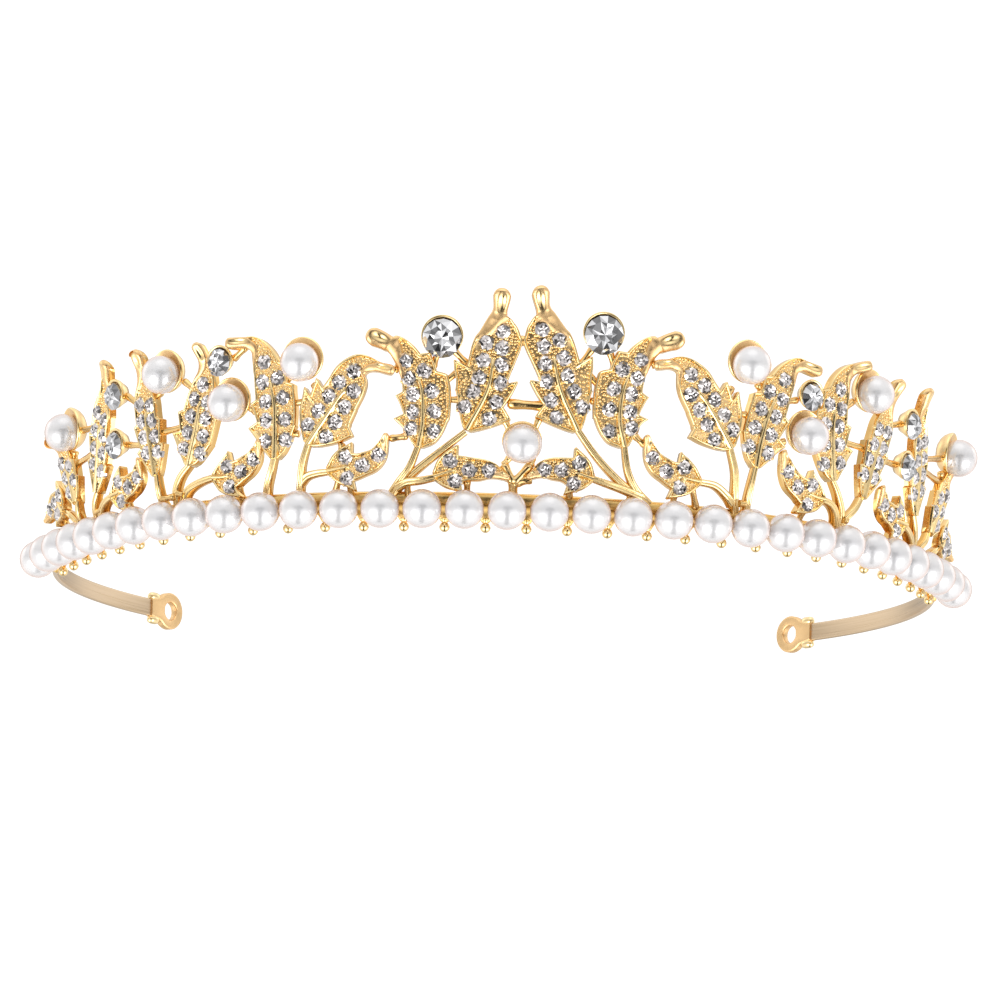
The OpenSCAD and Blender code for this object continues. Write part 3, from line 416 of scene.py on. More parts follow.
def edge_line(table, col, length):
    """One side's outline as rows of (row value, fraction, width): smooth runs, blunt lobes, round end."""
    pts = [[q[0] * length, q[col]] for q in table]
    runs, run = [], [pts[0]]
    for a, b in zip(pts, pts[1:]):
        drop = a[1] - b[1]
        if b[0] - a[0] < 0.5 and drop >= 0.5:  # a lobe ends: its tip, then the notch behind it
            if table is SMALL:
                tip, notch = [a[0] + 0.2, a[1] + 0.4], a[0] + 0.15
            elif drop >= 1.45 and a[0] > 0.3 * length:
                tip, notch = [a[0] + 0.3, a[1] + 0.1], a[0] - 0.25
            else:
                tip, notch = a, a[0] + 0.55 * drop
            run[-1] = tip
            runs += [run, [[tip[0] + 0.14, tip[1] - 0.16], [notch, b[1]]]]
            run = [[notch + 0.1, b[1] + 0.03]]
        else:
            run.append(b)
    width = next(q[col] for q in table if q[0] >= ROUND_AT)
    run = [q for q in run if q[0] < length - width - 0.4]
    run += [[length - width * (1 - math.sin(a)), width * math.cos(a)] for a in np.linspace(0, 1.45, 7)]
    out = []
    for run in runs + [run]:
        out += Spine(run).q[::10].tolist() + [run[-1]] if len(run) > 2 else run
    # The rows lean forward where the leaf is wide, as its lobes do
    rows = []
    for x, w in out:
        f = x / length
        rows.append([f - 0.45 * w / length * (1 - float(smooth(f, 0.66, 0.86))), f, w])
    rows = np.array(rows)
    rows[0, 0] = 0
    for a, b in zip(rows, rows[1:]):
        b[0] = max(b[0], a[0] + 0.0004)
    rows[:, 0] = (rows[:, 0] - rows[0, 0]) / (rows[-1, 0] - rows[0, 0])
    rows[:, 2] = np.maximum(rows[:, 2], 0.12)
    return rows


def across(w):
    """Offsets from the midrib out to the edge, close together at both."""
    k = np.minimum(1, w / 2.2)[:, None]
    mid = np.array([0, 0.12, 0.26, 0.4, 0.56, 0.72]) * k
    edge = w[:, None] - np.array([0.78, 0.6, 0.46, 0.34, 0.22, 0.1, 0]) * k
    g = np.linspace(0, 1, 5)[None, 1:-1]
    return np.hstack([mid, mid[:, -1:] + (edge[:, :1] - mid[:, -1:]) * g, edge])


def leaf_grid(table, length):
    """Row value, fraction and offset of each point of a leaf, and the half widths of each row."""
    lines = edge_line(table, 1, length), edge_line(table, 2, length)
    u = [np.linspace(0, 1, LEAF_ROWS[table is SMALL])] + [line[:, 0] for line in lines]
    u = np.unique(np.round(np.concatenate(u), 4))
    keep = [0]
    for i in range(1, len(u)):
        if u[i] - u[keep[-1]] > MIN_STEP:
            keep.append(i)
    u = u[keep]
    sides = []
    for line in lines:
        f, w = np.interp(u, line[:, 0], line[:, 1]), np.interp(u, line[:, 0], line[:, 2])
        v = across(w)
        sides.append((w, v, u[:, None] + (f - u)[:, None] * v / w[:, None]))
    (w_left, v_left, f_left), (w_right, v_right, f_right) = sides
    V = np.hstack([-v_left[:, ::-1], v_right[:, 1:]])
    F = np.hstack([f_left[:, ::-1], f_right[:, 1:]])
    return np.repeat(u[:, None], V.shape[1], 1), F, V, w_left[:, None], w_right[:, None]


def leaf_stones(leaf):
    """[s, h, w] of the stones set in a leaf."""
    sp = Spine(leaf[2])
    out = []
    for n, f0, f1, v0, v1 in leaf[1]:
        for i in range(n):
            g = i / (n - 1) if n > 1 else 0
            out.append(sp.at(f0 + (f1 - f0) * g, v0 + (v1 - v0) * g))
    return np.array(out)


def blade(shape, side, leaf, tongue, rng):
    """A stone-set leaf: bright raised rim, grainy bed, rounded midrib and a round curled tip."""
    table, _, points, _ = leaf
    small = table is SMALL
    sp = Spine(points)
    U, F, V, w_left, w_right = leaf_grid(table, sp.length)
    q = sp.at(F, V)
    flat = q[..., :2].reshape(-1, 2)
    d_left, d_right = (distance(flat, q[:, k, :2]).reshape(U.shape) for k in (0, -1))
    d = np.minimum(d_left, d_right)
    total = w_left + w_right
    # rim and bed
    scale = np.clip(total / 4.0, 0.35, 1)
    rim = RIM_H * half_round((np.clip(d / (RIM * scale), 0, 1) - 0.4) / 0.6)
    bed = BED + 0.1 * smooth(d, 0.6, 2.2)
    z = np.maximum(rim, bed)
    # The rim's tone is painted: a dark shadow line along its foot, rising to full gold on its crest
    tone = np.where(rim > bed, 0.15 + 0.85 * (rim - bed) / (RIM_H - BED), BED_TONE)
    # midrib: one rounded ridge that fades up the leaf
    rib_to = RIB_TO[small]
    y = np.abs(V) / (RIB_W[small] * (1 - 0.45 * np.clip(U / rib_to, 0, 1)))
    rib = (RIB_H - 0.3 * U / rib_to) * (1 - smooth(U, rib_to * 0.75, rib_to)) * half_round(y)
    tone = np.where(rib > z, 0.9, tone)
    z = np.maximum(z, rib)
    # tongue: a smooth band that grows from one rim and becomes the tip
    knots = (TONGUE_SMALL if small else TONGUE_LONG if table is TALL else TONGUE_FULL if table is FULL
             else TONGUE_SHORT)
    start, grown, _, tip_from, tip_to = knots[0]
    share = np.interp(U, *knots)
    band = np.maximum(RIM * scale, total * share)
    x = np.clip((d_right if tongue > 0 else d_left) / np.maximum(band, 0.05), 0, 1)
    dome = 0.3 + (0.3 + 0.55 * share) * half_round(2 * x - 1) * scale
    inside = (x < 1) & (U > start)
    on = np.where(inside, smooth(U, start, grown), 0)
    z = z * (1 - on) + np.maximum(z * (1 - on), dome) * on
    tone = tone * (1 - on) + SATIN * on
    # the very tip: a full round section with a polished dimple
    tip = smooth(U, tip_from, tip_to)
    mid, half = (w_right - w_left) / 2, total / 2
    dimple = np.exp(-((U - DIMPLE[0]) / DIMPLE[1]) ** 2 - ((V - mid + 0.15 * tongue) / (0.42 * half)) ** 2)
    round_tip = 0.1 + (0.95 * half_round((V - mid) / half) - DIMPLE[2] * dimple) * np.minimum(1, half / 1.1)
    z = z * (1 - tip) + round_tip * tip
    tone = tone * (1 - tip) + (SATIN - 1.2 * dimple) * tip
    # round the height off over the last half circle, as the outline does
    ball = float(np.interp(ROUND_AT, [q[0] for q in table], [q[1] for q in table])) / sp.length
    end = np.maximum(half_round(np.clip((F - 1 + ball) / ball, 0, 1)), 0.1)
    curl = CURL[small] * (np.clip(U - CURL_FROM, 0, 1) / CURL_RUN) ** 2
    depth = 0.75 + 0.15 * smooth(U, 0, 0.3)
    top, low = (np.concatenate([q[..., :2], (up * end + curl)[..., None]], -1) for up in (z, -depth))
    # wall and back, painted in shade by their low tone
    n = low.shape[1]
    back = low[:, [n - 1, int(n * 0.75), n // 2, int(n * 0.25), 0]]
    back[:, 1:4, 2] -= 0.25 * end[:, 1:4]
    wall_right = (top[:, -1] + back[:, 0]) / 2
    wall_left = (top[:, 0] + back[:, -1]) / 2
    loops = np.concatenate([top, wall_right[:, None], back, wall_left[:, None]], 1)
    tones = np.concatenate([tone, np.full((len(U), back.shape[1] + 2), WALL_SHADE_TONE)], 1)
    loops[..., 0] *= side
    shape.grid(panel(loops), tone=tones, flip=side < 0)

    stones = leaf_stones(leaf)[:, :2]
    free = (d > 0.42) & ~inside & ((y > 1.1) | (U > 0.85 * rib_to)) & (tip < 0.02)
    grains(shape, side, top, free, stones, rng)
    prongs(shape, side, stones, rng)


def grains(shape, side, top, free, stones, rng):
    """Grains cast close together in the cells of the bed that are free."""
    whole = free[:-1, :-1] & free[1:, :-1] & free[:-1, 1:] & free[1:, 1:]
    spots = [c + [rng.random(), rng.random()] for c in np.argwhere(whole).tolist() for _ in range(2)]
    rng.shuffle(spots)
    placed = []
    for i, j, a, b in spots:
        corners = (top[i, j], top[i + 1, j], top[i, j + 1], top[i + 1, j + 1])
        mix = ((1 - a) * (1 - b), a * (1 - b), (1 - a) * b, a * b)
        x, y, up = sum(k * c for k, c in zip(mix, corners))
        if np.min(np.hypot(stones[:, 0] - x, stones[:, 1] - y)) < STONE_CLEAR:
            continue
        r = rng.uniform(*GRAIN_R)
        if any((x - x1) ** 2 + (y - y1) ** 2 < (GRAIN_GAP * (r + r1)) ** 2 for x1, y1, r1 in placed):
            continue
        placed.append((x, y, r))
        shape.ball(panel([side * x, y, up]), r, (1, rng.uniform(0.6, 0.9), rng.uniform(0.6, 1.0)),
                   tone=rng.uniform(0.8, 1.0))


def prongs(shape, side, stones, rng):
    """Four small prongs round every stone."""
    for s, h in stones:
        a0 = rng.uniform(0, math.pi / 2)
        for k in range(4):
            a = a0 + k * math.pi / 2 + rng.uniform(-0.2, 0.2)
            p = [side * (s + STONE_CLEAR * math.cos(a)), h + STONE_CLEAR * math.sin(a), PRONG_H]
            shape.ball(panel(p), rng.uniform(*PRONG_R), (1, 1, 1.1), tone=EDGE_TONE)


# -------- stems, ties and cups
STALK_THICK = (0.88, 0.62)  # at the foot and at the leaf, as a share of the section
SECTION = np.array([[-0.62, -1.35], [-0.8, -0.7], [-0.8, 0.0], [-0.74, 0.36], [-0.58, 0.6], [-0.38, 0.7],
                    [-0.18, 0.6], [0, 0.52], [0.18, 0.6], [0.38, 0.7], [0.58, 0.6], [0.74, 0.36], [0.8, 0.0],
                    [0.8, -0.7], [0.62, -1.35], [0, -1.5]])
# Tone round the section: painted shade on the sides, the back and in the groove, full gold on the two ridges
SECTION_SHADE_TONE = np.array([0.1, 0.12, 0.2, 0.6, 0.95, 1, 0.75, 0.55, 0.75, 1, 0.95, 0.6, 0.2, 0.12, 0.1, 0.1])


def stalk(shape, side, points):
    """A stem with a groove along its front."""
    sp = Spine(points)
    rows = 22
    loops = []
    for f in np.linspace(0, 1, rows):
        g = STALK_THICK[0] + (STALK_THICK[1] - STALK_THICK[0]) * f
        q = sp.at(np.full(len(SECTION), f), SECTION[:, 0] * g)
        q[:, 2] += SECTION[:, 1] * g
        loops.append(q)
    loops = np.array(loops)
    loops[..., 0] *= side
    shape.grid(panel(loops), tone=np.tile(SECTION_SHADE_TONE, (rows, 1)), flip=side < 0)


# A tie's form: fraction along it, share of its thickness
BAR_FORM = [(-0.02, 0.5), (0.04, 0.95), (0.18, 1), (0.38, 0.84), (0.62, 0.84), (0.82, 1), (0.96, 0.95),
            (1.02, 0.5)]


def bar(shape, side, a, b, thick, tone=0.45):
    """A short cast tie: a round bar that flares a little at both ends, darkened as painted shade by its low
    tone.
    """
    a, b = panel([side * a[0], a[1], a[2]]), panel([side * b[0], b[1], b[2]])
    axis = b - a
    length = np.linalg.norm(axis)
    axis /= length
    up = np.array([0.0, 0.0, 1.0]) if abs(axis[2]) < 0.9 else np.array([1.0, 0, 0])
    e1 = np.cross(axis, up)
    e1 /= np.linalg.norm(e1)
    e2 = np.cross(axis, e1)
    ang = np.linspace(0, 2 * math.pi, 14, endpoint=False)
    circle = np.cos(ang)[:, None] * e1 + np.sin(ang)[:, None] * e2
    shape.grid([a + axis * length * f + thick / 2 * k * circle for f, k in BAR_FORM], tone=tone)


def tie(shape, side, s0, h0, s1, h1):
    """A tie between leaves or cups, or down to the rail. Those across the middle are thicker."""
    to_rail = h1 < 3
    bar(shape, side, [s0, h0 + (0.8 if to_rail else 0.0), -0.4], [s1, h1, -1.5 if to_rail else -0.4],
        MIDDLE_TIE_D if s1 < 0 else TIE_D)


# Both cups: outside from the bottom up, the lip, then the inside down to the middle
def pearl_cup(shape, m, r=3.4):
    form = [(0, -3.72), (r * 0.25, -3.68), (r * 0.5, -3.5), (r - 1, -3.1), (r - 0.5, -2.6), (r - 0.16, -2),
            (r, -1.55), (r + 0.02, -1.38), (r - 0.04, -1.24), (r - 0.15, -1.17), (r - 0.27, -1.22),
            (r - 0.4, -1.28), (r - 0.7, -1.4), (r - 1.1, -1.55), (r * 0.5, -1.7), (0, -1.8)]
    shape.turn(form, m, 56, [1.6] * 6 + [EDGE_TONE] * 4 + [1.7] * 6)


def crystal_cup(shape, m, r):
    form = [(0, -r), (r * 0.45, -r), (r * 0.68, -r * 0.95), (r * 0.86, -r * 0.62), (r + 0.05, -0.8),
            (r + 0.18, -0.45), (r + 0.21, -0.2), (r + 0.16, -0.08), (r + 0.06, -0.04), (r - 0.06, -0.08),
            (r - 0.3, -0.22), (r * 0.8, -r * 0.3), (0, -r * 0.5)]
    shape.turn(form, m, 56, [1.5] * 5 + [EDGE_TONE] * 5 + [1.9] * 3)


# -------- gems and pearls
DARK_REFLECTION_FACETS = 0.4  # share of facets painted dark, as painted reflection
# Rings of a gem's corners: share of the radius, share of the rise at odd and at even corners
GEM_RINGS = ((0.36, 0.78, 0.98), (0.66, 1, 0.88), (1, 0, 0))


def gem(shape, m, r, top, girdle, rng, wedges=10):
    """A foiled brilliant: its facets are painted dark or bright at random, a painted reflection standing in
    for the star of its back facets showing through the table.
    """
    rise, low = top - girdle, -girdle * 0.2
    a0 = rng.uniform(0, 2 * math.pi / wedges)
    angles = [2 * math.pi * i / wedges + a0 for i in range(wedges)]
    rings = [[(r * share * math.cos(a), r * share * math.sin(a), girdle + rise * (odd if i % 2 else even))
              for i, a in enumerate(angles)] for share, odd, even in GEM_RINGS]
    for corners in rings[:2]:
        for i, (x, y, z) in enumerate(corners):
            turn, grow = rng.uniform(-0.2, 0.2) * 2 * math.pi / wedges, rng.uniform(0.86, 1.14)
            corners[i] = (grow * (x * math.cos(turn) - y * math.sin(turn)),
                          grow * (x * math.sin(turn) + y * math.cos(turn)), z)
    faces = []
    for i in range(wedges):
        j = (i + 1) % wedges
        faces.append([(0, 0, girdle + rise * 0.62), rings[0][i], rings[0][j]])
        for a, b in zip(rings, rings[1:]):
            if i % 2:
                faces += [[a[i], b[i], b[j]], [a[i], b[j], a[j]]]
            else:
                faces += [[a[i], b[i], a[j]], [a[j], b[i], b[j]]]
    for f in faces:
        # Each facet's tone is a painted reflection, dark or bright at random
        dark = rng.random() < DARK_REFLECTION_FACETS
        tone = 0.05 + 0.25 * rng.random() if dark else 0.45 + 0.55 * rng.random()
        shape.add(place(m, f), [[0, 1, 2]], tone)
    foot = [(x, y, low) for x, y, z in rings[2]]
    n = wedges
    shape.add(place(m, rings[2] + foot), [[i, i + n, (i + 1) % n + n, (i + 1) % n] for i in range(n)], 0.5)
    shape.add(place(m, foot), [list(range(n))[::-1]], 0.4)


def pearl(shape, m):
    shape.turn(ball_profile(PEARL_R, 32), m)


# -------- materials
def fill(nt, n, values):
    """Set a node's inputs and settings; where the value is a socket, link it."""
    for key, value in values.items():
        if isinstance(value, bpy.types.NodeSocket):
            nt.links.new(value, n.inputs[key])
        elif isinstance(key, int) or key in n.inputs:
            n.inputs[key].default_value = value
        else:
            setattr(n, key, value)
    return n


def node(nt, kind, **values):
    return fill(nt, nt.nodes.new(kind), values)


def calc(nt, op, *args):
    return fill(nt, node(nt, "ShaderNodeMath", operation=op), dict(enumerate(args))).outputs[0]


def ramp(nt, source, stops):
    """Colour by source; a stop is (position, colour) or (position, grey)."""
    n = node(nt, "ShaderNodeValToRGB", Fac=source)
    e = n.color_ramp.elements
    while len(e) < len(stops):
        e.new(0.5)
    for x, (pos, col) in zip(e, stops):
        x.position, x.color = pos, (*(col if isinstance(col, tuple) else (col,) * 3), 1)
    return n.outputs["Color"]


def material(name):
    m = bpy.data.materials.new(name)
    m.use_nodes = True
    return m, m.node_tree, m.node_tree.nodes["Principled BSDF"]


def noise_at(nt, scale, detail, stretch=None):
    """Noise in object space."""
    at = node(nt, "ShaderNodeTexCoord").outputs["Object"]
    if stretch:
        at = node(nt, "ShaderNodeMapping", Scale=stretch, Vector=at).outputs["Vector"]
    return node(nt, "ShaderNodeTexNoise", Scale=scale, Detail=detail, Vector=at).outputs["Fac"]


def bumped(nt, height, strength, distance):
    return node(nt, "ShaderNodeBump", Strength=strength, Distance=distance, Height=height).outputs["Normal"]


def tone_of(nt):
    return node(nt, "ShaderNodeAttribute", attribute_name="tone").outputs["Fac"]


TAN = (0.84, 0.54, 0.26)  # the satin parts
SATIN_ROUGH = 0.24  # how much rougher they are than the polished ones


def gold(name, low, high, rough, grain, bump):
    """Polished cast gold plate: painted shade deep in the hollows, the full bright gold on the edges, with a
    fine cast grain.
    """
    m, nt, b = material(name)
    noise = noise_at(nt, grain, 3.0)
    half = calc(nt, "MULTIPLY", tone_of(nt), 0.5)  # a ramp ends at 1 and the tone at 2
    between = tuple((a + c) / 2 for a, c in zip(low, high))
    polish = ramp(nt, noise, [(0.3, rough[0]), (0.75, rough[1])])
    satin = ramp(nt, half, [(0.5, 0.0), (1.0, SATIN_ROUGH)])
    fill(nt, b, {"Metallic": 1.0, "Roughness": calc(nt, "ADD", polish, satin),
                 "Base Color": ramp(nt, half, [(0.0, low), (0.2, between), (0.5, high), (1.0, TAN)]),
                 "Normal": bumped(nt, noise, bump, 0.0001)})
    return m


def band_metal():
    """Satin strip, brushed along its length."""
    m, nt, b = material("band_satin_gold")
    noise = noise_at(nt, 1.0, 2.0, (60, 60, 5200))
    fill(nt, b, {"Metallic": 1.0, "Roughness": ramp(nt, noise, [(0.3, 0.26), (0.7, 0.38)]),
                 "Base Color": ramp(nt, noise, [(0.3, (0.58, 0.43, 0.27)), (0.7, (0.69, 0.53, 0.36))]),
                 "Normal": bumped(nt, noise, 0.12, 0.00005)})
    return m


def pearl_coat():
    """Imitation pearl: white body under a lacquer with a soft shine; a painted nacre sheen and a painted
    reflection of the gold make it warmer at the rim.
    """
    m, nt, b = material("pearl_lacquer")
    noise = noise_at(nt, 300.0, 2.0)
    # Painted sheen and painted reflection: the colour warms toward the rim by facing angle
    edge = node(nt, "ShaderNodeLayerWeight", Blend=0.5).outputs["Facing"]
    sheen = ramp(nt, edge, [(0.0, (0.78, 0.775, 0.785)), (0.42, (0.81, 0.79, 0.785)),
                            (0.63, (0.82, 0.70, 0.66)), (0.9, (0.80, 0.54, 0.41))])
    cloud = ramp(nt, noise, [(0.3, (0.97, 0.97, 0.98)), (0.7, 1.0)])
    mix = node(nt, "ShaderNodeMix", data_type="RGBA", blend_type="MULTIPLY")
    fill(nt, mix, {"Factor": 1.0, 6: sheen, 7: cloud})
    fill(nt, b, {"Base Color": mix.outputs[2], "Metallic": 0.34, "IOR": 1.6, "Coat Weight": 0.6,
                 "Coat Roughness": 0.1, "Roughness": ramp(nt, noise, [(0.3, 0.21), (0.7, 0.25)])})
    return m


def foil_glass(name, tint):
    """Foil-backed glass: each facet is dark or bright by its tone, a painted reflection."""
    m, nt, b = material(name)
    stops = [(0.0, tuple(0.04 * t * t for t in tint)), (0.5, tuple(0.5 * t for t in tint)), (1.0, tint)]
    fill(nt, b, {"Base Color": ramp(nt, tone_of(nt), stops), "Metallic": 0.85, "Roughness": 0.06,
                 "Coat Weight": 1.0, "Coat Roughness": 0.02})
    return m


# For each gold the low colour is painted shade for the hollows and the high colour is its full gold
CROWN_GOLD = gold("crown_gold", (0.66, 0.33, 0.06), (1.0, 0.77, 0.39), (0.10, 0.2), 1800.0, 0.25)
RAIL_GOLD = gold("rail_gold", (0.60, 0.30, 0.05), (1.0, 0.68, 0.26), (0.26, 0.36), 1400.0, 0.3)
BEAD_GOLD = gold("bead_gold", (0.58, 0.33, 0.08), (0.98, 0.74, 0.38), (0.08, 0.16), 1400.0, 0.2)
LOOP_GOLD = gold("loop_gold", (0.70, 0.44, 0.15), (0.98, 0.78, 0.44), (0.16, 0.28), 1400.0, 0.25)
BAND = band_metal()
PEARL = pearl_coat()
STONE = foil_glass("set_stone", (1.0, 0.93, 0.91))
CRYSTAL = foil_glass("crystal", (0.98, 0.98, 1.0))

# -------- the crown
# Which rim of each leaf runs on into its curled tip: 1 for the outer, -1 for the inner
TONGUES = [[1, 1, -1], [-1, 1, -1], [1, 1, -1], [-1, 1, -1, 1]]
for side, name, leaves, sets, ties in ((1, "right", RIGHT_LEAVES, RIGHT_SETS, RIGHT_TIES),
                                       (-1, "left", LEFT_LEAVES, LEFT_SETS, LEFT_TIES)):
    pearls = crystals = 0
    for k in range(4):
        rng = random.Random(100 * k + 10 * side + 7)
        cast, gems = Shape(), Shape()
        for leaf, tongue in zip(leaves[k], TONGUES[k]):
            blade(cast, side, leaf, tongue, rng)
            stalk(cast, side, leaf[3])
            for s, h, _ in leaf_stones(leaf):
                gem(gems, on_crown(side * s, h, STONE_OUT), STONE_R, STONE_TOP, STONE_GIRDLE, rng)
        for kind, s, h in sets[k]:
            if kind == "P":
                pearl_cup(cast, on_crown(side * s, h, PEARL_OUT) @ Matrix.Translation((0, CUP_UP, 0)))
            else:
                seat = on_crown(side * s, h, CRYSTAL_OUT) @ Matrix.Translation((0, CUP_UP * 0.7, 0))
                crystal_cup(cast, seat, CRYSTAL_R[kind])
        for ends in ties[k]:
            tie(cast, side, *ends)
        spray, stones = f"{name}_spray_{k + 1}", f"{name}_stones_{k + 1}"
        cast.make(spray + "_cast", CROWN_GOLD, "crown_gold", spray, 55)
        gems.make(stones + "_cut", STONE, "set_stone", stones, 0)
        for kind, s, h in sets[k]:
            one = Shape()
            if kind == "P":
                pearls += 1
                pearl(one, on_crown(side * s, h, PEARL_OUT))
                part = f"{name}_pearl_{pearls}"
                one.make(part + "_lacquered", PEARL, "pearl", part)
            else:
                crystals += 1
                r = CRYSTAL_R[kind]
                gem(one, on_crown(side * s, h, CRYSTAL_OUT), r, r * CRYSTAL_TOP, CRYSTAL_GIRDLE, rng, 14)
                part = f"{name}_crystal_{crystals}"
                one.make(part + "_cut", CRYSTAL, "crystal", part, 0)

# The forked stem of the middle, and the claws round its pearl: [s, h, w] at both ends, thickness
link = Shape()
for a, b, thick in (([-1, 2.6, -1.5], [-1, 4.8, -0.2], 1.7), ([-1, 4.5, -0.2], [-2.6, 7.4, -0.2], 1.5),
                    ([-1, 4.5, -0.2], [1.6, 7.4, -0.2], 1.5), ([-1.6, 12, -0.5], [-2.6, 14, -0.2], 1.2),
                    ([1.8, 12.2, -0.5], [2.6, 14.4, -0.2], 1.2), ([-1.7, 8.5, -0.5], [-2.6, 7.2, -0.2], 1.2),
                    ([1.9, 8.6, -0.5], [1.6, 7.2, -0.2], 1.2)):
    bar(link, 1, a, b, thick, 0.7)
s, h = CENTRE
pearl_cup(link, on_crown(s, h + CENTRE_CUP_UP, PEARL_OUT), CENTRE_CUP_R)
link.make("centre_link_cast", CROWN_GOLD, "crown_gold", "centre_link", 55)
one = Shape()
pearl(one, on_crown(s, h, PEARL_OUT))
one.make("centre_pearl_lacquered", PEARL, "pearl", "centre_pearl")

# -------- the pearl row, rail and beads
GROUPS = {"row_pearls_left_rear": (-ROW_SIDE, -9), "row_pearls_left_front": (-8, -1),
          "row_pearl_middle": (0, 0), "row_pearls_right_front": (1, 8),
          "row_pearls_right_rear": (9, ROW_SIDE)}
for name, (first, last) in GROUPS.items():
    group = Shape()
    for i in range(first, last + 1):
        pearl(group, facing(ROW_SHIFT + i * PITCH, 0, PEARL_Z))
    group.make(name + "_lacquered", PEARL, "pearl", name)

# The rail's section: share of the way up to 3.6 mm, n, tone; then n, z, tone round the top bar
RAIL_FRONT = [(0, -0.1, 0.9), (0.12, 0.3, 0.95), (0.5, 0.5, 1.0), (0.95, 0.42, 0.9)]
# These tones paint shade: darkest in the recess under the top bar, darker along the back and its lower edge
RAIL_TOP = [(0.16, 3.9, 0.3), (0.14, 4.4, 0.1), (0.36, 4.65, 0.5), (0.46, 4.85, 0.75), (0.5, 5.4, 0.8),
            (0.46, 5.8, 0.85), (0.32, 6.08, 0.95), (0.08, 6.18, 1.0), (-0.2, 6.14, 0.8), (-0.4, 5.9, 0.6),
            (-0.4, 4.0, 0.6)]
POST = [(0, 0), (1.3, 0.1), (1.25, 0.5), (0.8, 0.62), (0.52, 0.9), (0.5, 1.9), (0, 1.95)]
BEAD_R, BEAD_Z = 0.8, 0.8


def rail_skin(shape, reach):
    """The rail: a rounded bar on top and a web whose lower edge dips to a neck over every bead."""
    loops, tones = [], []
    for s in np.arange(ROW_SHIFT - reach, ROW_SHIFT + reach + 0.01, PITCH / 20):
        off = (s - ROW_SHIFT) / PITCH - 0.5
        off = abs(off - round(off)) * PITCH
        low = 1.5 + 1.3 * float(smooth(off, 0.4, 1.5))
        sec = [(n, low + (3.6 - low) * k, t) for k, n, t in RAIL_FRONT]
        sec = np.array(sec + RAIL_TOP + [(-0.4, low + 0.15, 0.4), (-0.28, low, 0.4)])
        loops.append(station(s, sec, RAIL_N))
        tones.append(sec[:, 2])
    shape.grid(loops, tone=np.array(tones))


rail = Shape()
rail_skin(rail, (ROW_SIDE + 0.5) * PITCH)
for i in range(-ROW_SIDE, ROW_SIDE + 1):
    rail.turn(POST, facing(ROW_SHIFT + i * PITCH, RAIL_N, PEARL_Z), 20, 0.7)
rail.make("gallery_rail_cast", RAIL_GOLD, "rail_gold", "gallery_rail", 55)
beads = Shape()
for i in range(-ROW_SIDE, ROW_SIDE):
    m = Matrix.Translation(Vector(ring(ROW_SHIFT + (i + 0.5) * PITCH, RAIL_N, BEAD_Z)))
    form = ball_profile(BEAD_R, 16)[:15] + [(0.36, 0.8), (0.42, 1.0), (0.75, 1.25), (0, 1.3)]
    beads.turn(form, m, 24, 0.8)
beads.make("bead_row_cast", BEAD_GOLD, "rail_gold", "bead_row", 60)


# -------- the headband and its end loops
def rounded(w, h, r, n=4):
    """A rectangle with rounded corners."""
    pts = []
    for i, (x, y) in enumerate(((1, 1), (-1, 1), (-1, -1), (1, -1))):
        for k in range(n + 1):
            a = math.radians(90 * i + 90 * k / n)
            pts.append((x * (w / 2 - r) + r * math.cos(a), y * (h / 2 - r) + r * math.sin(a)))
    return np.array(pts)


strip = Shape()
section = rounded(BAND_T, BAND_H, 0.3)
stops = np.linspace(-BAND_REACH, BAND_REACH, int(2 * BAND_REACH / 0.8) + 1)
strip.grid([station(s, section, BAND_N, BAND_Z) for s in stops], tone=0.6, flip=True)
strip.make("headband_strip", BAND, "band_steel", "headband", 50)

EYE_R = 3.1
NECK = [(-4.85, 1.5), (-4.3, 1.62), (-3.6, 1.75), (-2.9, 1.9), (-2.3, 2.15), (-1.7, 2.62)]
# Rounded edges as (inset, z) for the outer edge and (radius, z) for the hole
OUTER = ((0.3, -0.7), (0.1, -0.62), (0, -0.45), (0, 0.45), (0.1, 0.62), (0.3, 0.7))
HOLE = ((1.75, 0.7), (1.58, 0.62), (1.5, 0.45), (1.5, -0.45), (1.58, -0.62), (1.75, -0.7))
LUG = [(0, -1.25), (0.35, -1.2), (0.62, -0.95), (0.74, -0.5), (0.76, 0)]
LUG += [(r, -z) for r, z in LUG[-2::-1]]


def end_loop(shape, m):
    """The flat eye with a round hole, rounded edges, and the two lugs that grip the strip."""
    half = NECK + [(EYE_R * math.sin(a), EYE_R * math.cos(a)) for a in np.linspace(-0.42, math.pi / 2, 20)]
    edge = Spine(half + [(x, -y) for x, y in half[-2::-1]])
    n = 96
    g = np.linspace(0, 1, n)
    p = np.stack([np.interp(g, edge.c, edge.q[:, 0]), np.interp(g, edge.c, edge.q[:, 1])], -1)
    t = np.gradient(p, axis=0)
    t /= np.linalg.norm(t, axis=1)[:, None]
    normal = np.stack([-t[:, 1], t[:, 0]], -1)
    ang = np.arctan2(p[:, 1], p[:, 0])
    hole = np.stack([np.cos(ang), np.sin(ang)], -1)
    loops = [np.column_stack([p - normal * inset, np.full(n, z)]) for inset, z in OUTER]
    loops += [np.column_stack([hole * r, np.full(n, z)]) for r, z in HOLE]
    loops = np.array(loops + loops[:1])
    flat = place(m, loops.reshape(-1, 3)).reshape(loops.shape)
    shape.grid(flat, caps=False, tone=1.8)
    for y in (-1.95, 1.95):
        shape.ball(place(m, [[-3.7, y, 0]])[0], 0.62, tone=0.9)
        lug_at = Matrix.Translation((-3.75, y, 0)) @ Matrix.Rotation(math.pi / 2, 4, "Y")
        shape.turn(LUG, m @ lug_at, 28, 0.85)


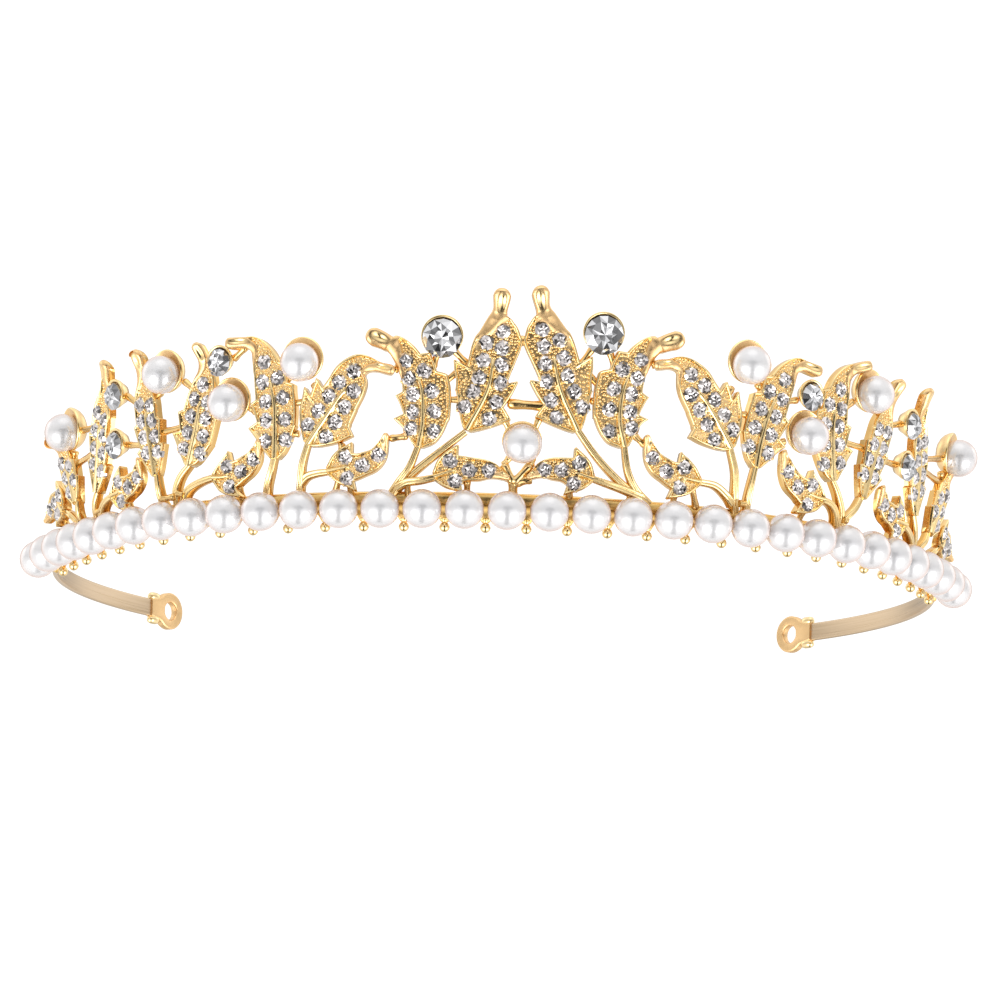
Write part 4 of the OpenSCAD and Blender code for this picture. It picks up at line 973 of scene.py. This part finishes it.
eye = facing(BAND_REACH, BAND_N, BAND_Z) @ Matrix.Translation((3.5, 0, 0))
mirror = Matrix.Translation((2 * RING_X, 0, 0)) @ Matrix.Scale(-1, 4, (1, 0, 0))
for side, m in (("right", eye), ("left", mirror @ eye)):
    one = Shape()
    end_loop(one, m)
    if side == "left":
        one.f = [q[::-1] for q in one.f]
    one.make(side + "_end_eye", LOOP_GOLD, "loop_gold", side + "_end_loop", 40)

# -------- stage, light and camera (in metres)
scene = bpy.context.scene
FLOOR_Z, FLOOR_HALF = -0.3, 6
floor_mesh = bpy.data.meshes.new("floor")
corners = [(x * FLOOR_HALF, y * FLOOR_HALF, FLOOR_Z) for x, y in ((-1, -1), (1, -1), (1, 1), (-1, 1))]
floor_mesh.from_pydata(corners, [], [(0, 1, 2, 3)])
floor = bpy.data.objects.new("floor", floor_mesh)
scene.collection.objects.link(floor)
pale, floor_tree, floor_shader = material("pale_floor")
fill(floor_tree, floor_shader, {"Base Color": (0.86, 0.86, 0.86, 1), "Roughness": 0.9})
floor_mesh.materials.append(pale)
# The tent is lit from below as well, so the floor only shows to the camera
floor.visible_diffuse = floor.visible_glossy = floor.visible_transmission = floor.visible_shadow = False

# Soft light tent: brightness by height (0 straight down, 1 straight up), the gap (height, half width,
# half height), the slit (half widths), and round soft boxes (direction, outer and inner radius, power)
TENT = [(0.0, 0.95), (0.36, 0.9), (0.47, 0.72), (0.55, 0.52), (0.66, 0.56), (0.8, 0.85), (1.0, 0.95)]
GAP = (0.06, 0.5, 0.24)
SLIT = (0.1, 0.24)
GAP_DEPTH, TENT_POWER = 0.95, 1.18
BOXES = [((-0.62, -0.47, -0.62), 32, 12, 1.3), ((0.62, -0.47, -0.62), 32, 12, 1.3),
         ((0.0, 0.62, -0.78), 46, 14, -0.42), ((0.0, -0.35, 0.94), 30, 12, 0.5),
         ((-0.8, 0.5, 0.3), 26, 10, 1.0), ((0.8, 0.5, 0.3), 26, 10, 1.0)]

world = bpy.data.worlds.new("studio")
scene.world = world
world.use_nodes = True
wt = world.node_tree


def sky(op, *args):
    return calc(wt, op, *args)


def step(x, a, b):
    """0 below a, 1 above b, soft between; works with a above b too."""
    lo, hi, ta, tb = (a, b, 0.0, 1.0) if a < b else (b, a, 1.0, 0.0)
    n = node(wt, "ShaderNodeMapRange", interpolation_type="SMOOTHSTEP")
    fill(wt, n, {"Value": x, "From Min": lo, "From Max": hi, "To Min": ta, "To Max": tb})
    return n.outputs["Result"]


def patch(direction, edge, core):
    """A round soft box in the sky: 1 at its middle."""
    n = node(wt, "ShaderNodeVectorMath", operation="DOT_PRODUCT")
    fill(wt, n, {0: sky_dir, 1: Vector(direction).normalized()})
    return step(n.outputs["Value"], math.cos(math.radians(edge)), math.cos(math.radians(core)))


sky_dir = node(wt, "ShaderNodeTexCoord").outputs["Generated"]
sx, sy, sz = node(wt, "ShaderNodeSeparateXYZ", Vector=sky_dir).outputs
tent = ramp(wt, sky("MULTIPLY_ADD", sz, 0.5, 0.5), TENT)
# The dark of the room shows at the front of the tent: a wide gap and a slit below it
across_gap = sky("POWER", sky("ABSOLUTE", sky("DIVIDE", sx, GAP[1])), 2.0)
up_gap = sky("POWER", sky("ABSOLUTE", sky("DIVIDE", sky("SUBTRACT", sz, GAP[0]), GAP[2])), 2.0)
gap = sky("SQRT", sky("ADD", across_gap, up_gap))
slit = sky("MULTIPLY", step(sky("ABSOLUTE", sx), SLIT[1], SLIT[0]), step(sz, 0.1, -0.1))
dark = sky("MULTIPLY", sky("MAXIMUM", step(gap, 1.2, 0.7), slit), step(sy, 0.35, 0.1))
light = sky("SUBTRACT", 1.0, sky("MULTIPLY", dark, GAP_DEPTH))
for where, edge, core, power in BOXES:
    light = sky("ADD", light, sky("MULTIPLY", patch(where, edge, core), power))
lit = fill(wt, node(wt, "ShaderNodeVectorMath", operation="SCALE"), {0: tent, "Scale": light})
seen = node(wt, "ShaderNodeLightPath").outputs["Is Camera Ray"]
backdrop = node(wt, "ShaderNodeMix", data_type="RGBA")  # white where the camera looks past the object
fill(wt, backdrop, {"Factor": seen, 6: lit.outputs["Vector"], 7: (1, 1, 1, 1)})
fill(wt, wt.nodes["Background"], {"Color": backdrop.outputs[2], "Strength": TENT_POWER})

KEY_SIZE, KEY_POWER, KEY_AIM = 0.5, 1.6, (0, -0.03, 0.015)
for name, x in (("key_left", -0.68), ("key_right", 0.68)):
    where = Vector((x, -0.54, -0.62))
    lamp = bpy.data.lights.new(name, "AREA")
    lamp.shape = "RECTANGLE"
    lamp.size = lamp.size_y = KEY_SIZE
    lamp.energy = KEY_POWER
    key = bpy.data.objects.new(name, lamp)
    scene.collection.objects.link(key)
    key.location = where
    key.rotation_euler = (Vector(KEY_AIM) - where).to_track_quat("-Z", "Y").to_euler()
    key.visible_camera = False

CAMERA_AT, CAMERA_TURN = (-0.05304, -1.14726, -0.18671), (2.617, 10.01, 1.722)  # azimuth, elevation, roll
cam_data = bpy.data.cameras.new("camera")
cam_data.lens, cam_data.sensor_width = 263.4, 36
cam_data.clip_start, cam_data.clip_end = 0.05, 30
camera = bpy.data.objects.new("camera", cam_data)
scene.collection.objects.link(camera)
azimuth, elevation, roll = (math.radians(a) for a in CAMERA_TURN)
turned = (Matrix.Rotation(-azimuth, 4, "Z") @ Matrix.Rotation(math.pi / 2 + elevation, 4, "X")
          @ Matrix.Rotation(roll, 4, "Z"))
camera.matrix_world = Matrix.Translation(CAMERA_AT) @ turned
scene.camera = camera
scene.view_settings.view_transform = "Standard"
scene.view_settings.look = "None"
